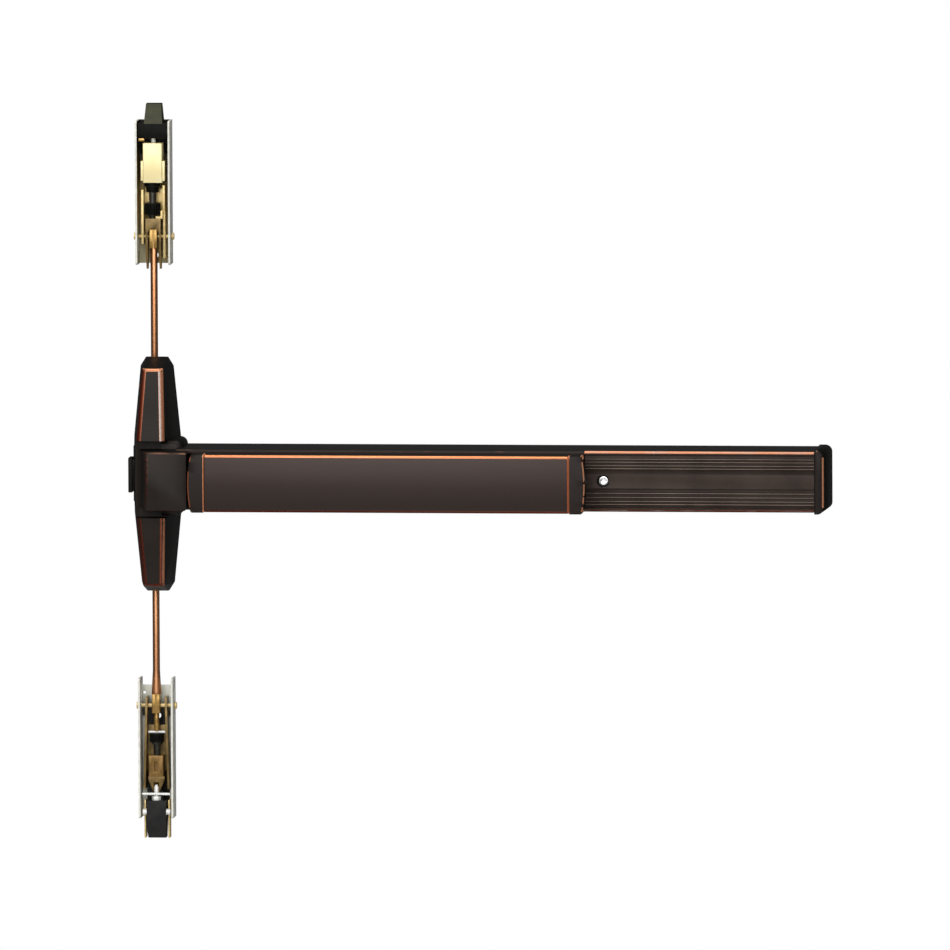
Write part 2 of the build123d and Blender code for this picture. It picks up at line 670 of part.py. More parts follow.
def crank(x):
    """A bell crank: one arm rides in the pad's lug, the other drives the link."""
    arm = (x + CRANK_IN * math.cos(CRANK_SWING), CRANK_Y - CRANK_IN * math.sin(CRANK_SWING))
    out = (x - CRANK_OUT * math.sin(CRANK_SWING), CRANK_Y - CRANK_OUT * math.cos(CRANK_SWING))
    body = rod_z(CRANK_HUB_R, *CRANK_Z, x, CRANK_Y)
    for end in (arm, out):
        body += prism_z(arm_outline((x, CRANK_Y), end, CRANK_END_R), *CRANK_Z)
    body += rod_z(CRANK_PIN_R, PAD_LUG_Z[0] - 1.0, CRANK_Z[0], *arm)
    body += rod_z(CRANK_PIN_R, CRANK_Z[1], LINK_Z[1] + 1.0, *out)
    return body - rod_z(CRANK_PIN_R + RUN, *CRANK_Z, x, CRANK_Y)


def link_bar():
    """Joins both cranks to the rocker and carries the dogging tab at its right end."""
    body = box(*LINK_X, *LINK_Y, *LINK_Z)
    shoulder = LINK_X[0] + 16.0
    body += box(LINK_X[0], shoulder, LINK_Y[1], LINK_END_Y[1], *LINK_Z)
    down = ROCKER_DOWN[1] - ROCKER_ARM / 2 - 1.0
    drop = ROCKER_DOWN[0] - PIN_R - GAP - 2.5
    body += box(drop, shoulder, *LINK_END_Y, down, ROCKER_DOWN[1] + 5.0)
    body += box(LINK_X[0], shoulder, *LINK_END_Y, ROCKER_DOWN[1] + 5.0, LINK_Z[1])
    x = ROCKER_DOWN[0]
    body -= slot_y(PIN_R + GAP, *LINK_END_Y, (x, ROCKER_DOWN[1]), (x, -ROCKER_ARM))
    for centre in CRANK_X:
        out = centre - CRANK_OUT * math.sin(CRANK_SWING)
        near = CRANK_Y - CRANK_OUT * math.cos(CRANK_SWING)
        body -= slot_z(CRANK_PIN_R + GAP, *LINK_Z, (out, near), (out, CRANK_Y - CRANK_OUT))
    tab_x = DOG_X + DOG_HOOK_HALF + GAP - LINK_TRAVEL
    body += box(LINK_X[1] - 2.0, tab_x + EAR_T, *LINK_Y, *LINK_Z)
    body += box(tab_x, tab_x + EAR_T, LINK_Y[0], DOG_HOOK_Y[1], LINK_Z[0], LINK_Z[1] + 6.0)
    return body


def filler_profile():
    """The (y, z) outline of the filler strip with its ridges and two deep grooves."""
    front, back = -CASE_DEPTH, -CASE_DEPTH + FILLER_T
    floor = front + GROOVE
    step = -CASE_DEPTH + LIP_T
    points = [(back, -FILLER_FLANGE), (step, -FILLER_FLANGE), (step, -FILLER_HALF), (floor, -FILLER_HALF)]
    half = RIDGE_W / 2
    for z in sorted(RIDGE_BOTTOM):
        points += [(floor, z - half), (front, z - half / 2), (front, z + half / 2), (floor, z + half)]
    points += [(floor + GROOVE / 2, BAND[0] - 1.2), (floor + GROOVE / 2, BAND[0]), (front, BAND[0])]
    points += [(front, BAND[1]), (floor + GROOVE / 2, BAND[1]), (floor + GROOVE / 2, BAND[1] + 1.2)]
    for z in sorted(RIDGE_TOP):
        points += [(floor, z - half), (front, z - half / 2), (front, z + half / 2), (floor, z + half)]
    points += [(floor, FILLER_HALF), (step, FILLER_HALF), (step, FILLER_FLANGE), (back, FILLER_FLANGE)]
    return points


def filler():
    strip = prism_x(filler_profile(), FILLER_X, END_X[0])
    strip -= rod_y(DOG_HOLE_R, -CASE_DEPTH, -CASE_DEPTH + FILLER_T, DOG_X, DOG_Z)
    return strip


def dogging_plate():
    front = -CASE_DEPTH + FILLER_T
    back = front + DOG_PLATE_T
    half = DOG_PLATE_HALF_X
    plate = box(DOG_X - half, DOG_X + half, front, back, -FILLER_FLANGE, FILLER_FLANGE)
    return plate - rod_y(DOG_SCREW_R + RUN, front, back, DOG_X, DOG_Z)


def dogging_screw():
    under = -CASE_DEPTH + FILLER_T + DOG_PLATE_T + SIDE
    collar_y = under + 1.6
    body = rod_y(DOG_SCREW_R, DOG_SEAT_Y, collar_y, DOG_X, DOG_Z)
    body += rod_y(DOG_SCREW_R + 1.6, under, collar_y, DOG_X, DOG_Z)
    body += rod_y(DOG_SHAFT_R, collar_y, DOG_HOOK_Y[1], DOG_X, DOG_Z)
    half = DOG_HOOK_HALF
    body += rod_y(half, *DOG_HOOK_Y, DOG_X, DOG_Z)
    body += box(DOG_X - DOG_HOOK_R, DOG_X, *DOG_HOOK_Y, DOG_Z - half, DOG_Z + half)
    key = RegularPolygon(DOG_HEX / 2, 6, major_radius=False)
    return body - extrude(Plane((DOG_X, DOG_SEAT_Y, DOG_Z), z_dir=(0, 1, 0)) * key, amount=DOG_HEX)


def pad_shell(x0, x1, proud):
    """The pad's crowned channel: outer profile less the same profile one wall in."""
    def profile(inset, rim):
        half = PAD_HALF + proud - inset
        edge = -(PAD_DEPTH + proud - PAD_CROWN) + inset
        top = -(PAD_DEPTH + proud) + inset
        crown = ThreePointArc((x0, edge, -half), (x0, top, 0.0), (x0, edge, half))
        sides = Polyline((x0, edge, half), (x0, rim, half), (x0, rim, -half), (x0, edge, -half))
        return extrude(make_face([crown, sides]), amount=x1 - x0, dir=(1, 0, 0))
    outer = profile(0.0, -PAD_RIM)
    long_edges = [e for e in outer.edges().filter_by(Axis.X) if e.center().Y < -PAD_RIM - 1.0]
    outer = fillet(long_edges, PAD_EDGE)
    return outer, profile(PAD_WALL + proud, -PAD_RIM)


def pad_plate():
    outer, inner = pad_shell(*PAD_X, 0.0)
    return outer - inner


def pad_cap(inner_x, ends):
    """An end cap with a bowed outer end, closed there by a wall."""
    bow, corner = ends
    side = 1 if bow > inner_x else -1
    outer, inner = pad_shell(min(inner_x, bow), max(inner_x, bow), CAP_PROUD)
    half = PAD_HALF + CAP_PROUD
    arc = ThreePointArc((corner, 0.0, -half), (bow, 0.0, 0.0), (corner, 0.0, half))
    back = Polyline((corner, 0.0, half), (inner_x, 0.0, half), (inner_x, 0.0, -half), (corner, 0.0, -half))
    bowed = extrude(make_face([arc, back]), amount=PAD_DEPTH + 5.0, dir=(0, -1, 0))
    shape = outer & bowed
    rim = [
        e
        for e in shape.edges()
        if side * (e.center().X - inner_x) > abs(corner - inner_x) - 2.0 and e.center().Y < -PAD_RIM - 3.0
    ]
    shape = chamfer(rim, 1.0)
    stop = corner - side * PAD_WALL
    room = box(inner_x, stop, -PAD_DEPTH - 2.0, -PAD_RIM, -half, half)
    return shape - (inner & room)


def pad_carrier():
    front, rim = -CARRIER_FRONT, -CARRIER_RIM
    half, wall = CARRIER_HALF, CARRIER_WALL
    body = box(*CARRIER_X, front, rim, -half, half)
    body -= box(*CARRIER_X, front + wall, rim, -half + wall, half - wall)
    for x in CRANK_X:
        near = x + CRANK_IN * math.cos(CRANK_SWING)
        pin_y = CRANK_Y - CRANK_IN * math.sin(CRANK_SWING)
        tip = pin_y + CRANK_PIN_R + 1.4
        lug = box(near - PAD_LUG_HALF_X, x + CRANK_IN + PAD_LUG_HALF_X - 1.0, front + wall, tip, *PAD_LUG_Z)
        body += lug - slot_z(CRANK_PIN_R + GAP, *PAD_LUG_Z, (near, pin_y), (x + CRANK_IN, pin_y))
    return body


def end_cap():
    x0, x1 = END_X
    points = [(x0, 0.0), (x1, 0.0), (END_FRONT_X, -END_DEPTH), (x0, -END_DEPTH)]
    body = prism_z(points, -END_HALF, END_HALF)
    long_edges = [
        e for e in body.edges() if e.center().X > x0 + 5.0 and abs(e.center().Y + END_DEPTH / 2) < 1.0
    ]
    body = fillet(long_edges, END_CORNER)
    front = [e for e in body.edges() if e.center().Y < -END_DEPTH + 0.1]
    body = chamfer(front, END_EDGE)
    sleeve = CASE_HALF + SIDE / 2
    body -= box(x0, CASE_X[1] + SIDE, -CASE_DEPTH - SIDE, 0.0, -sleeve, sleeve)
    inner = END_HALF - END_WALL
    body -= box(CASE_X[1], END_FRONT_X - END_WALL, -END_DEPTH + END_WALL, 0.0, -inner, inner)
    screw_z = -END_HALF
    body -= rod_z(END_BOLT_R, screw_z, screw_z + 2 * END_WALL, END_SCREW_X, END_SCREW_Y)
    return body


def end_bracket():
    """Base under the case's end, and an upright with a foot for the cap's screw."""
    x0, x1 = END_BRACKET_X
    base_y = -CASE_WALL - EAR_T
    upright = END_SCREW_X - EAR_T
    inner = END_HALF - END_WALL - SIDE
    body = box(x0, x1 - EAR_T, base_y, -CASE_WALL, -inner + 3.0, inner - 3.0)
    body += box(CASE_X[1] + SIDE, x1 - EAR_T, base_y, -CASE_WALL, -inner, inner - 3.0)
    body += box(CASE_X[1] + SIDE, x1 - 1.0, END_SCREW_Y - 6.0, -CASE_WALL, -inner, -inner + EAR_T)
    body -= rod_z(1.6, -inner, -inner + EAR_T, END_SCREW_X, END_SCREW_Y)
    for z in (-END_BOLT_Z, END_BOLT_Z):
        body -= rod_y(END_BOLT_R, base_y, -CASE_WALL, END_BOLT_X, z)
    return body


def end_screw():
    low = -END_HALF + 0.4
    head = rod_z(END_BOLT_R - SIDE, low, low + 1.4, END_SCREW_X, END_SCREW_Y)
    slot = box(END_SCREW_X - 3.0, END_SCREW_X + 3.0, END_SCREW_Y - 0.3, END_SCREW_Y + 0.3, low, low + 0.6)
    top = -END_HALF + END_WALL + SIDE + EAR_T
    return head - slot + rod_z(1.6, low + 1.4, top, END_SCREW_X, END_SCREW_Y)


def latch_case(z_range, plate_z, holes, sign):
    """An open channel: two side walls slotted for the cross pin, on a drilled back plate."""
    z0, z1 = z_range
    body = box(LATCH_X - LATCH_HALF, LATCH_X + LATCH_HALF, LATCH_FLOOR, LATCH_Y[1], *plate_z)
    ends = sorted((sign * LATCH_PIN_Z, sign * (LATCH_PIN_Z - ROD_TRAVEL)))
    for side in (-1, 1):
        outer = LATCH_X + side * LATCH_HALF
        inner = outer - side * LATCH_WALL
        body += box(outer, inner, *LATCH_Y, z0, z1)
    front = [e for e in body.edges().filter_by(Axis.X) if e.center().Y < LATCH_Y[0] + 0.1]
    body = chamfer(front, LATCH_CORNER)
    reach = LATCH_HALF + 1.0
    body -= slot_x(LATCH_PIN_R + GAP, LATCH_X - reach, LATCH_X + reach, ROD_Y, *ends)
    for z in holes:
        body -= rod_y(LATCH_HOLE_R, LATCH_FLOOR, LATCH_Y[1], LATCH_X, z)
    return body


def bottom_case():
    body = latch_case(BOTTOM_Z, (BOTTOM_Z[0], BOTTOM_PLATE_Z), BOTTOM_HOLES_Z, -1)
    return body - rod_y(PILOT_R, LATCH_FLOOR, LATCH_Y[1], PILOT_X, PILOT_Z)


def latch_pin(sign):
    z = sign * LATCH_PIN_Z
    inner = LATCH_HALF + GAP
    body = rod_x(LATCH_PIN_R, LATCH_X - inner, LATCH_X + inner, ROD_Y, z)
    for side in (-1, 1):
        start = LATCH_X + side * inner
        body += rod_x(LATCH_PIN_HEAD_R, start, start + side * LATCH_PIN_HEAD, ROD_Y, z)
    return body


def connector(sign):
    """Slotted block on the rod's end, drilled for the cross pin."""
    z0, z1 = sign * CONNECTOR_Z[0], sign * CONNECTOR_Z[1]
    left, right = ROD_X - CONNECTOR_HALF, ROD_X + CONNECTOR_HALF
    front = CONNECTOR_Y[0]
    body = box(left, right, *CONNECTOR_Y, z0, z1)
    body = chamfer(body.edges().filter_by(Axis.Z), LATCH_EDGE)
    body -= rod_z(ROD_R, z0, sign * ROD_END, ROD_X, ROD_Y)
    body -= box(ROD_X - LATCH_EDGE, ROD_X + LATCH_EDGE, front, front + LATCH_EDGE, z0, z1)
    return body - rod_x(LATCH_PIN_R, left, right, ROD_Y, sign * LATCH_PIN_Z)


def rod(sign, flare):
    """A push rod that may flare where it meets its latch connector."""
    start, neck, end = sign * (LUG_Z - LUG_H), sign * FLARE_Z, sign * CONNECTOR_Z[0]
    body = rod_z(ROD_R, start, sign * ROD_END, ROD_X, ROD_Y)
    if flare > ROD_R:
        body += loft([
            Pos(ROD_X, ROD_Y, neck) * Circle(ROD_R),
            Pos(ROD_X, ROD_Y, end) * Circle(flare),
        ])
    return body


def upper_clevis():
    """U bracket round the connector, with an arched front and two pointed legs."""
    x0, x1 = LATCH_X - CLEVIS_HALF, LATCH_X + CLEVIS_HALF
    (y0, y1), (z0, z1), wall = CLEVIS_Y, CLEVIS_Z, CLEVIS_WALL
    body = box(x0, x1, y0, y1, z0, z1)
    body -= box(x0 + wall, x1 - wall, y0 + wall, y1, z0, z1 - wall - SIDE)
    body -= box(x0, x1, y0, y0 + wall, z0, CLEVIS_ARCH_Z)
    body -= rod_y(CLEVIS_ARCH_R, y0, y0 + wall, LATCH_X, CLEVIS_ARCH_Z)
    shoulder = z0 + CLEVIS_POINT
    body -= prism_x([(y0, z0), (y0, shoulder), (ROD_Y - PIN_R, z0)], x0, x1)
    body -= prism_x([(y1, z0), (y1, shoulder), (ROD_Y + PIN_R, z0)], x0, x1)
    return body - rod_x(LATCH_PIN_R, x0, x1, ROD_Y, LATCH_PIN_Z)


def upper_knob():
    """Fluted adjusting nut on the stem."""
    ring = Pos(STEM_X, ROD_Y, KNOB_Z[0]) * RegularPolygon(KNOB_R, KNOB_SIDES)
    body = extrude(ring, amount=KNOB_Z[1] - KNOB_Z[0])
    return body - rod_z(STEM_R, *KNOB_Z, STEM_X, ROD_Y)


def upper_stem():
    return rod_z(STEM_R, CLEVIS_Z[1], DOME_Z[0], STEM_X, ROD_Y)


def upper_dome():
    """Stepped cup under the block."""
    body = rod_z(DOME_R[0], DOME_Z[1], DOME_Z[2], STEM_X, ROD_Y)
    return body + rod_z(DOME_R[1], DOME_Z[0], DOME_Z[1], STEM_X, ROD_Y)


def upper_carriage():
    """Long left arm, short right arm and a lower right arm on one back web."""
    back = LATCH_FLOOR - SIDE
    front = LATCH_Y[0] + 5.0
    left, right = LATCH_X - TOP_ARM_X, LATCH_X + TOP_ARM_X
    body = box(left, right, back - WEB_T, back, *WEB_Z)
    body += box(left, left + ARM_T, front, back, LEFT_ARM_Z, WEB_Z[1])
    body += box(right - ARM_T, right, front, back, WEB_Z[0], RIGHT_ARM_Z)
    body += box(right - ARM_T, right, front + 3.0, back, LOW_ARM_Z, WEB_Z[0])
    return body - rod_x(LATCH_PIN_R, left, right, ROD_Y, LATCH_PIN_Z)


def upper_trip():
    """Small angle bracket on the clevis's top."""
    low = CLEVIS_Z[1]
    right = LATCH_X + TOP_ARM_X - ARM_T
    left = STEM_X + STEM_R + GAP
    body = box(left, right, *CLEVIS_Y, low, low + TRIP_T)
    return body + box(right - ARM_T, right, *CLEVIS_Y, low + TRIP_T, low + TRIP_H)


def upper_block():
    body = box(LATCH_X - BLOCK_HALF, LATCH_X + BLOCK_HALF, *BLOCK_Y, *BLOCK_Z)
    body = chamfer(body.edges().filter_by(Axis.Z), LATCH_EDGE)
    wing_y = BLOCK_Y[0] + 1.6
    return body + box(LATCH_X - WING_HALF, LATCH_X + WING_HALF, wing_y, BLOCK_Y[1], *WING_Z)


def top_bolt_stem():
    return rod_z(PIN_R, BLOCK_Z[1], TOP_BOLT_Z[0], ROD_X, ROD_Y)


def top_bolt():
    """Shouldered body with a tail behind the block, and a nose bevelled towards the strike."""
    (y0, y1), (z0, z1) = BOLT_Y, TOP_BOLT_Z
    left, right = LATCH_X - TOP_BOLT_HALF, LATCH_X + TOP_BOLT_HALF
    body = box(left, right, y0, y1, z0, z1)
    outline = [
        (LATCH_X + NOSE_BASE[0], z1),
        (LATCH_X + NOSE_TOP[0], BOLT_END),
        (LATCH_X + NOSE_TOP[1], BOLT_END),
        (LATCH_X + NOSE_BASE[1], z1),
    ]
    middle = (y0 + y1) / 2
    nose = prism_y(outline, y0, y1) - prism_x([(y0, z1), (y0, BOLT_END), (middle, BOLT_END)], left, right)
    tail_y = BLOCK_Y[1] + GAP
    return body + nose + box(left, right, tail_y, tail_y + TAIL_T, TAIL_Z, z0)


def top_bolt_tab():
    x0 = LATCH_X - TOP_BOLT_HALF + GAP
    return box(x0, x0 + TAB_W, *TAB_Y, TOP_BOLT_Z[0] - TRIP_T - LATCH_EDGE, TOP_BOLT_Z[0])


def lower_carriage():
    """Two lever plates that splay towards the bolt, on one back web."""
    back = LATCH_FLOOR - SIDE
    foot_z, top_z = LEVER_Z
    body = box(LATCH_X - LEVER_FOOT_X + GAP, LATCH_X + LEVER_FOOT_X - GAP, back - WEB_T, back, *LOW_WEB_Z)
    for side in (-1, 1):
        top, foot = LATCH_X + side * LEVER_TOP_X, LATCH_X + side * LEVER_FOOT_X
        out = side * ARM_T
        lever = [(top, top_z), (top + out, top_z), (foot + out, foot_z), (foot, foot_z)]
        body += prism_y(lever, LEVER_FRONT, back)
    reach = LEVER_FOOT_X + ARM_T
    return body - rod_x(LATCH_PIN_R, LATCH_X - reach, LATCH_X + reach, ROD_Y, -LATCH_PIN_Z)


def lower_cross_pins():
    """One pin between the levers and a longer one in front of them."""
    inner = LEVER_TOP_X + RUN
    first = rod_x(CROSS_PIN_R, LATCH_X - inner, LATCH_X + inner, ROD_Y, INNER_PIN_Z)
    second = rod_x(CROSS_PIN_R, LATCH_X - OUTER_PIN_HALF, LATCH_X + OUTER_PIN_HALF, OUTER_PIN_Y, OUTER_PIN_Z)
    return Compound(children=[first, second])


def lower_barrel():
    return rod_z(BARREL_R, *BARREL_Z, ROD_X, ROD_Y)


def lower_knob():
    return rod_z(LOW_KNOB_R, *LOW_KNOB_Z, ROD_X, ROD_Y)


def lower_spool():
    flange = LOW_KNOB_Z[0] - SPOOL_FLANGE
    body = rod_z(SPOOL_R[0], flange, LOW_KNOB_Z[0], ROD_X, ROD_Y)
    return body + rod_z(SPOOL_R[1], LOW_BLOCK_Z[1], flange, ROD_X, ROD_Y)


def lower_block():
    """Brass block with a keyhole slot."""
    front = LOW_BLOCK_Y[0]
    body = box(LATCH_X + LOW_BLOCK_X[0], LATCH_X + LOW_BLOCK_X[1], *LOW_BLOCK_Y, *LOW_BLOCK_Z)
    body = chamfer(body.edges().filter_by(Axis.Z), LATCH_EDGE)
    low, high = KEYHOLE_Z
    return body - slot_y(KEYHOLE_R, front, front + KEYHOLE_DEEP, (ROD_X, low), (ROD_X, high))


def lower_wedge():
    """Folded plate under the block, its sides falling to a V, slotted for the acorn screw."""
    low, high = WEDGE_Z
    top = LOW_BLOCK_Z[0]
    front = LOW_BLOCK_Y[0] + 1.0
    points = [
        (LATCH_X - WEDGE_HALF, top),
        (LATCH_X + WEDGE_HALF, top),
        (LATCH_X + WEDGE_HALF, high),
        (LATCH_X + WEDGE_TIP, low),
        (LATCH_X - WEDGE_TIP, low),
        (LATCH_X - WEDGE_HALF, high),
    ]
    body = prism_y(points, front, LOW_BLOCK_Y[1])
    room = ACORN_R + SIDE
    return body - box(ROD_X - room, ROD_X + room, front, ACORN_Y + room, low, ACORN_Z[1] + room)


def lower_acorn():
    """Round-nosed screw that hangs from the wedge."""
    low, high = ACORN_Z
    tip = Pos(ROD_X, ACORN_Y, high - ACORN_R / 2) * Cone(ACORN_R, ACORN_R / 2, ACORN_R)
    return tip + rod_z(ACORN_R, low, high - ACORN_R, ROD_X, ACORN_Y)


def lower_nut():
    flats = RegularPolygon(NUT_FLAT, 6, major_radius=False)
    return extrude(Pos(ROD_X, ACORN_Y, ACORN_Z[0] - NUT_H) * flats, amount=NUT_H)


def lower_rollers():
    rollers = []
    for side in (-1, 1):
        inner, outer = (LATCH_X + side * x for x in ROLLER_X)
        rollers.append(rod_x(ROLLER_R, inner, outer, ROLLER_Y, ROLLER_Z))
    return Compound(children=rollers)


def bottom_bolt():
    """Blunt bolt with a neck up to the wedge and a bevel towards the strike."""
    (y0, y1), (z0, z1) = BOLT_Y, LOW_BOLT_Z
    left, right = LATCH_X - LOW_BOLT_HALF, LATCH_X + LOW_BOLT_HALF
    tip = [(right - LATCH_EDGE, -BOLT_END), (left + LATCH_EDGE, -BOLT_END)]
    body = prism_y([(left, z1), (right, z1), (right, z0), *tip, (left, z0)], y0, y1)
    lip = LOW_BEVEL - LATCH_EDGE
    body -= prism_x([(y0, -BOLT_END + LOW_BEVEL), (y0, -BOLT_END), (y0 + lip, -BOLT_END)], left, right)
    return body + box(LATCH_X - LOW_NECK_HALF, LATCH_X + LOW_NECK_HALF, LOW_NECK_Y, y1, z1, WEDGE_Z[0])


def bottom_cheeks():
    """Thin plates on both sides of the lower bolt."""
    plates = []
    for side in (-1, 1):
        inner = LATCH_X + side * CHEEK_X
        plates.append(box(inner, inner + side * CHEEK_T, CHEEK_Y, BOLT_Y[1], -BOLT_END, LOW_BOLT_Z[1]))
    return Compound(children=plates)


NODES = {
    "center_cover": center_cover(),
    "side_plug": side_plug(),
    "cover_screws": cover_screws(),
    "base_plate": base_plate(),
    "rocker_pivot": rocker_pivot(),
    "rocker": rocker(),
    "mechanism_case": mechanism_case(),
    "crank_brackets": crank_brackets(),
    "crank_pivots": crank_pivots(),
    "crank_left": crank(CRANK_X[0]),
    "crank_right": crank(CRANK_X[1]),
    "link_bar": link_bar(),
    "filler": filler(),
    "dogging_plate": dogging_plate(),
    "dogging_screw": dogging_screw(),
    "pad_plate": pad_plate(),
    "pad_cap_left": pad_cap(PAD_X[0], CAP_LEFT),
    "pad_cap_right": pad_cap(PAD_X[1], CAP_RIGHT),
    "pad_carrier": pad_carrier(),
    "end_cap": end_cap(),
    "end_bracket": end_bracket(),
    "end_screw": end_screw(),
    "upper_slide": slide(1, ROCKER_LEFT),
    "lower_slide": slide(-1, ROCKER_RIGHT),
    "upper_rod_block": rod_block(1),
    "lower_rod_block": rod_block(-1),
    "upper_spring": return_spring(1),
    "lower_spring": return_spring(-1),
    "upper_rod": rod(1, ROD_R),
    "lower_rod": rod(-1, FLARE_R),
    "top_case": latch_case(TOP_Z, TOP_Z, TOP_HOLES_Z, 1),
    "bottom_case": bottom_case(),
    "upper_pin": latch_pin(1),
    "lower_pin": latch_pin(-1),
    "upper_connector": connector(1),
    "lower_connector": connector(-1),
    "upper_clevis": upper_clevis(),
    "upper_knob": upper_knob(),
    "upper_stem": upper_stem(),
    "upper_dome": upper_dome(),
    "upper_carriage": upper_carriage(),
    "upper_trip": upper_trip(),
    "upper_block": upper_block(),
    "top_bolt_stem": top_bolt_stem(),
    "top_bolt": top_bolt(),
    "top_bolt_tab": top_bolt_tab(),
    "lower_carriage": lower_carriage(),
    "lower_cross_pins": lower_cross_pins(),
    "lower_barrel": lower_barrel(),
    "lower_knob": lower_knob(),
    "lower_spool": lower_spool(),
    "lower_block": lower_block(),
    "lower_wedge": lower_wedge(),
    "lower_acorn": lower_acorn(),
    "lower_nut": lower_nut(),
    "lower_rollers": lower_rollers(),
    "bottom_bolt": bottom_bolt(),
    "bottom_cheeks": bottom_cheeks(),
}

os.makedirs("parts", exist_ok=True)
for name, shape in NODES.items():
    export_step(shape, f"parts/{name}.step")
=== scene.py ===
"""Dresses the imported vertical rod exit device: rubbed bronze casings, a grooved push pad and two
open latch cases in zinc and yellow zinc, with camera, lamps and floor as in a studio photograph."""

import json
import math

import bmesh
import bpy
from mathutils import Matrix, Vector


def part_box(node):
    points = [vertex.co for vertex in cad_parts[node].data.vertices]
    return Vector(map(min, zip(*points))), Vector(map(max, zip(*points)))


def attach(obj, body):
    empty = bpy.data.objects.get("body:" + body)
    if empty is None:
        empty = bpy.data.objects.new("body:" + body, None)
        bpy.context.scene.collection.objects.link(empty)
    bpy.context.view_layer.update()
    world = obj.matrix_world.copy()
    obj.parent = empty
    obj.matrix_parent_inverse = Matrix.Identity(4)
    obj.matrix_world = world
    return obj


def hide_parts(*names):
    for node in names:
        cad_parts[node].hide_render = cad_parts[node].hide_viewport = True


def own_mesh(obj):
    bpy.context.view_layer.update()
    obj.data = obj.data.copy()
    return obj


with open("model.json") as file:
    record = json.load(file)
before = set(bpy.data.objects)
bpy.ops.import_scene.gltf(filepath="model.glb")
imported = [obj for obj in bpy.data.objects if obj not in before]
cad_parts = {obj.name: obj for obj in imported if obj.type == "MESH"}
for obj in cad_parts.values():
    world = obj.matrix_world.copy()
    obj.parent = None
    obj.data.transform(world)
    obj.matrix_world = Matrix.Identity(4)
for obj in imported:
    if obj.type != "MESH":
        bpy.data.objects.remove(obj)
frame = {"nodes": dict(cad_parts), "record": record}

bl_info = {
    "name": "Vertical Rod Exit Device",
    "version": (1, 0, 0),
    "blender": (4, 5, 0),
    "location": "3D View > Sidebar > Exit Device",
    "description": "Finishes the exit device's packed parts and lights them",
    "category": "Object",
}

MM = 0.001
SLOTS = {row["node"]: row["material_slot"] for row in frame["record"]["subparts"]}
BODIES = {
    node: body for body, nodes in frame["record"]["behaviour"]["bodies"].items() for node in nodes
}
WEAR = "wear"


# Colour and nodes

# A Mix node's sockets for colours: the factor, the two colours and the result
MIX_FACTOR, MIX_FIRST, MIX_SECOND, MIX_RESULT = (0, 6, 7, 2)


def linear(code):
    """Turns an sRGB hex colour into the linear colour that Blender's sockets hold."""
    parts = [int(code[i : i + 2], 16) / 255 for i in (1, 3, 5)]
    return tuple(p / 12.92 if p <= 0.04045 else ((p + 0.055) / 1.055) ** 2.4 for p in parts) + (1.0,)


def greys(low, high, start=0.3, end=0.7):
    """A ramp's stops for a number that goes from low to high."""
    return [(start, (low, low, low, 1.0)), (end, (high, high, high, 1.0))]


def hues(colours, positions=(0.35, 0.68)):
    """A ramp's stops for a row of hex colours."""
    return [(position, linear(colour)) for position, colour in zip(positions, colours)]


def add_node(tree, kind, inputs=None, stops=(), **settings):
    """Adds a node, sets its settings and a ramp's stops, and fills or links its inputs."""
    made = tree.nodes.new(kind)
    for key, value in settings.items():
        setattr(made, key, value)
    for index, (position, colour) in enumerate(stops):
        elements = made.color_ramp.elements
        stop = elements[index] if index < 2 else elements.new(position)
        stop.position = position
        stop.color = colour
    for key, value in (inputs or {}).items():
        if isinstance(value, bpy.types.NodeSocket):
            tree.links.new(value, made.inputs[key])
        else:
            made.inputs[key].default_value = value
    return made


def clouds(tree, size, detail=3.0, stretch=(1, 1, 1)):
    """A cloudy pattern fixed to the object, its clouds about size millimetres across."""
    place = add_node(tree, "ShaderNodeTexCoord").outputs["Object"]
    inputs = {"Vector": place, "Scale": [1 / factor for factor in stretch]}
    scaled = add_node(tree, "ShaderNodeMapping", inputs).outputs["Vector"]
    inputs = {"Vector": scaled, "Scale": 1 / (size * MM), "Detail": detail}
    return add_node(tree, "ShaderNodeTexNoise", inputs).outputs["Fac"]


def fresh_material(name):
    """An empty material, and its tree."""
    made = bpy.data.materials.new(name)
    made.use_nodes = True
    made.node_tree.nodes.clear()
    return made, made.node_tree


def close_material(tree, grains, depth, inputs):
    """Adds the grain's relief, depth millimetres high, the shader and the output."""
    bump = {"Height": grains, "Distance": depth * MM, "Strength": 1.0}
    normal = add_node(tree, "ShaderNodeBump", bump).outputs["Normal"]
    shader = add_node(tree, "ShaderNodeBsdfPrincipled", {**inputs, "Normal": normal})
    add_node(tree, "ShaderNodeOutputMaterial", {"Surface": shader.outputs["BSDF"]})


# Plain surfaces

BLOTCH_DETAIL = 4.0


def surface(
    name, colours, roughness, metallic, blotch, grain, depth, stretch=(1, 1, 1), gloss=0.5
):
    """A finish that wanders between two colours and two roughnesses, over a fine grain.

    blotch and grain are the sizes of the cloudy pattern and of the grain, and depth is the
    grain's height, all in millimetres. stretch lengthens the grain along an axis, and gloss is
    how strongly a coating mirrors the lamps.
    """
    found = bpy.data.materials.get(name)
    if found:
        return found
    made, tree = fresh_material(name)
    blotches = clouds(tree, blotch, BLOTCH_DETAIL)
    grains = clouds(tree, grain, stretch=stretch)
    colour = add_node(tree, "ShaderNodeValToRGB", {"Fac": blotches}, hues(colours))
    rough = add_node(tree, "ShaderNodeValToRGB", {"Fac": grains}, greys(*roughness))
    inputs = {
        "Base Color": colour.outputs["Color"],
        "Roughness": rough.outputs["Color"],
        "Metallic": metallic,
        "Specular IOR Level": gloss,
    }
    close_material(tree, grains, depth, inputs)
    return made
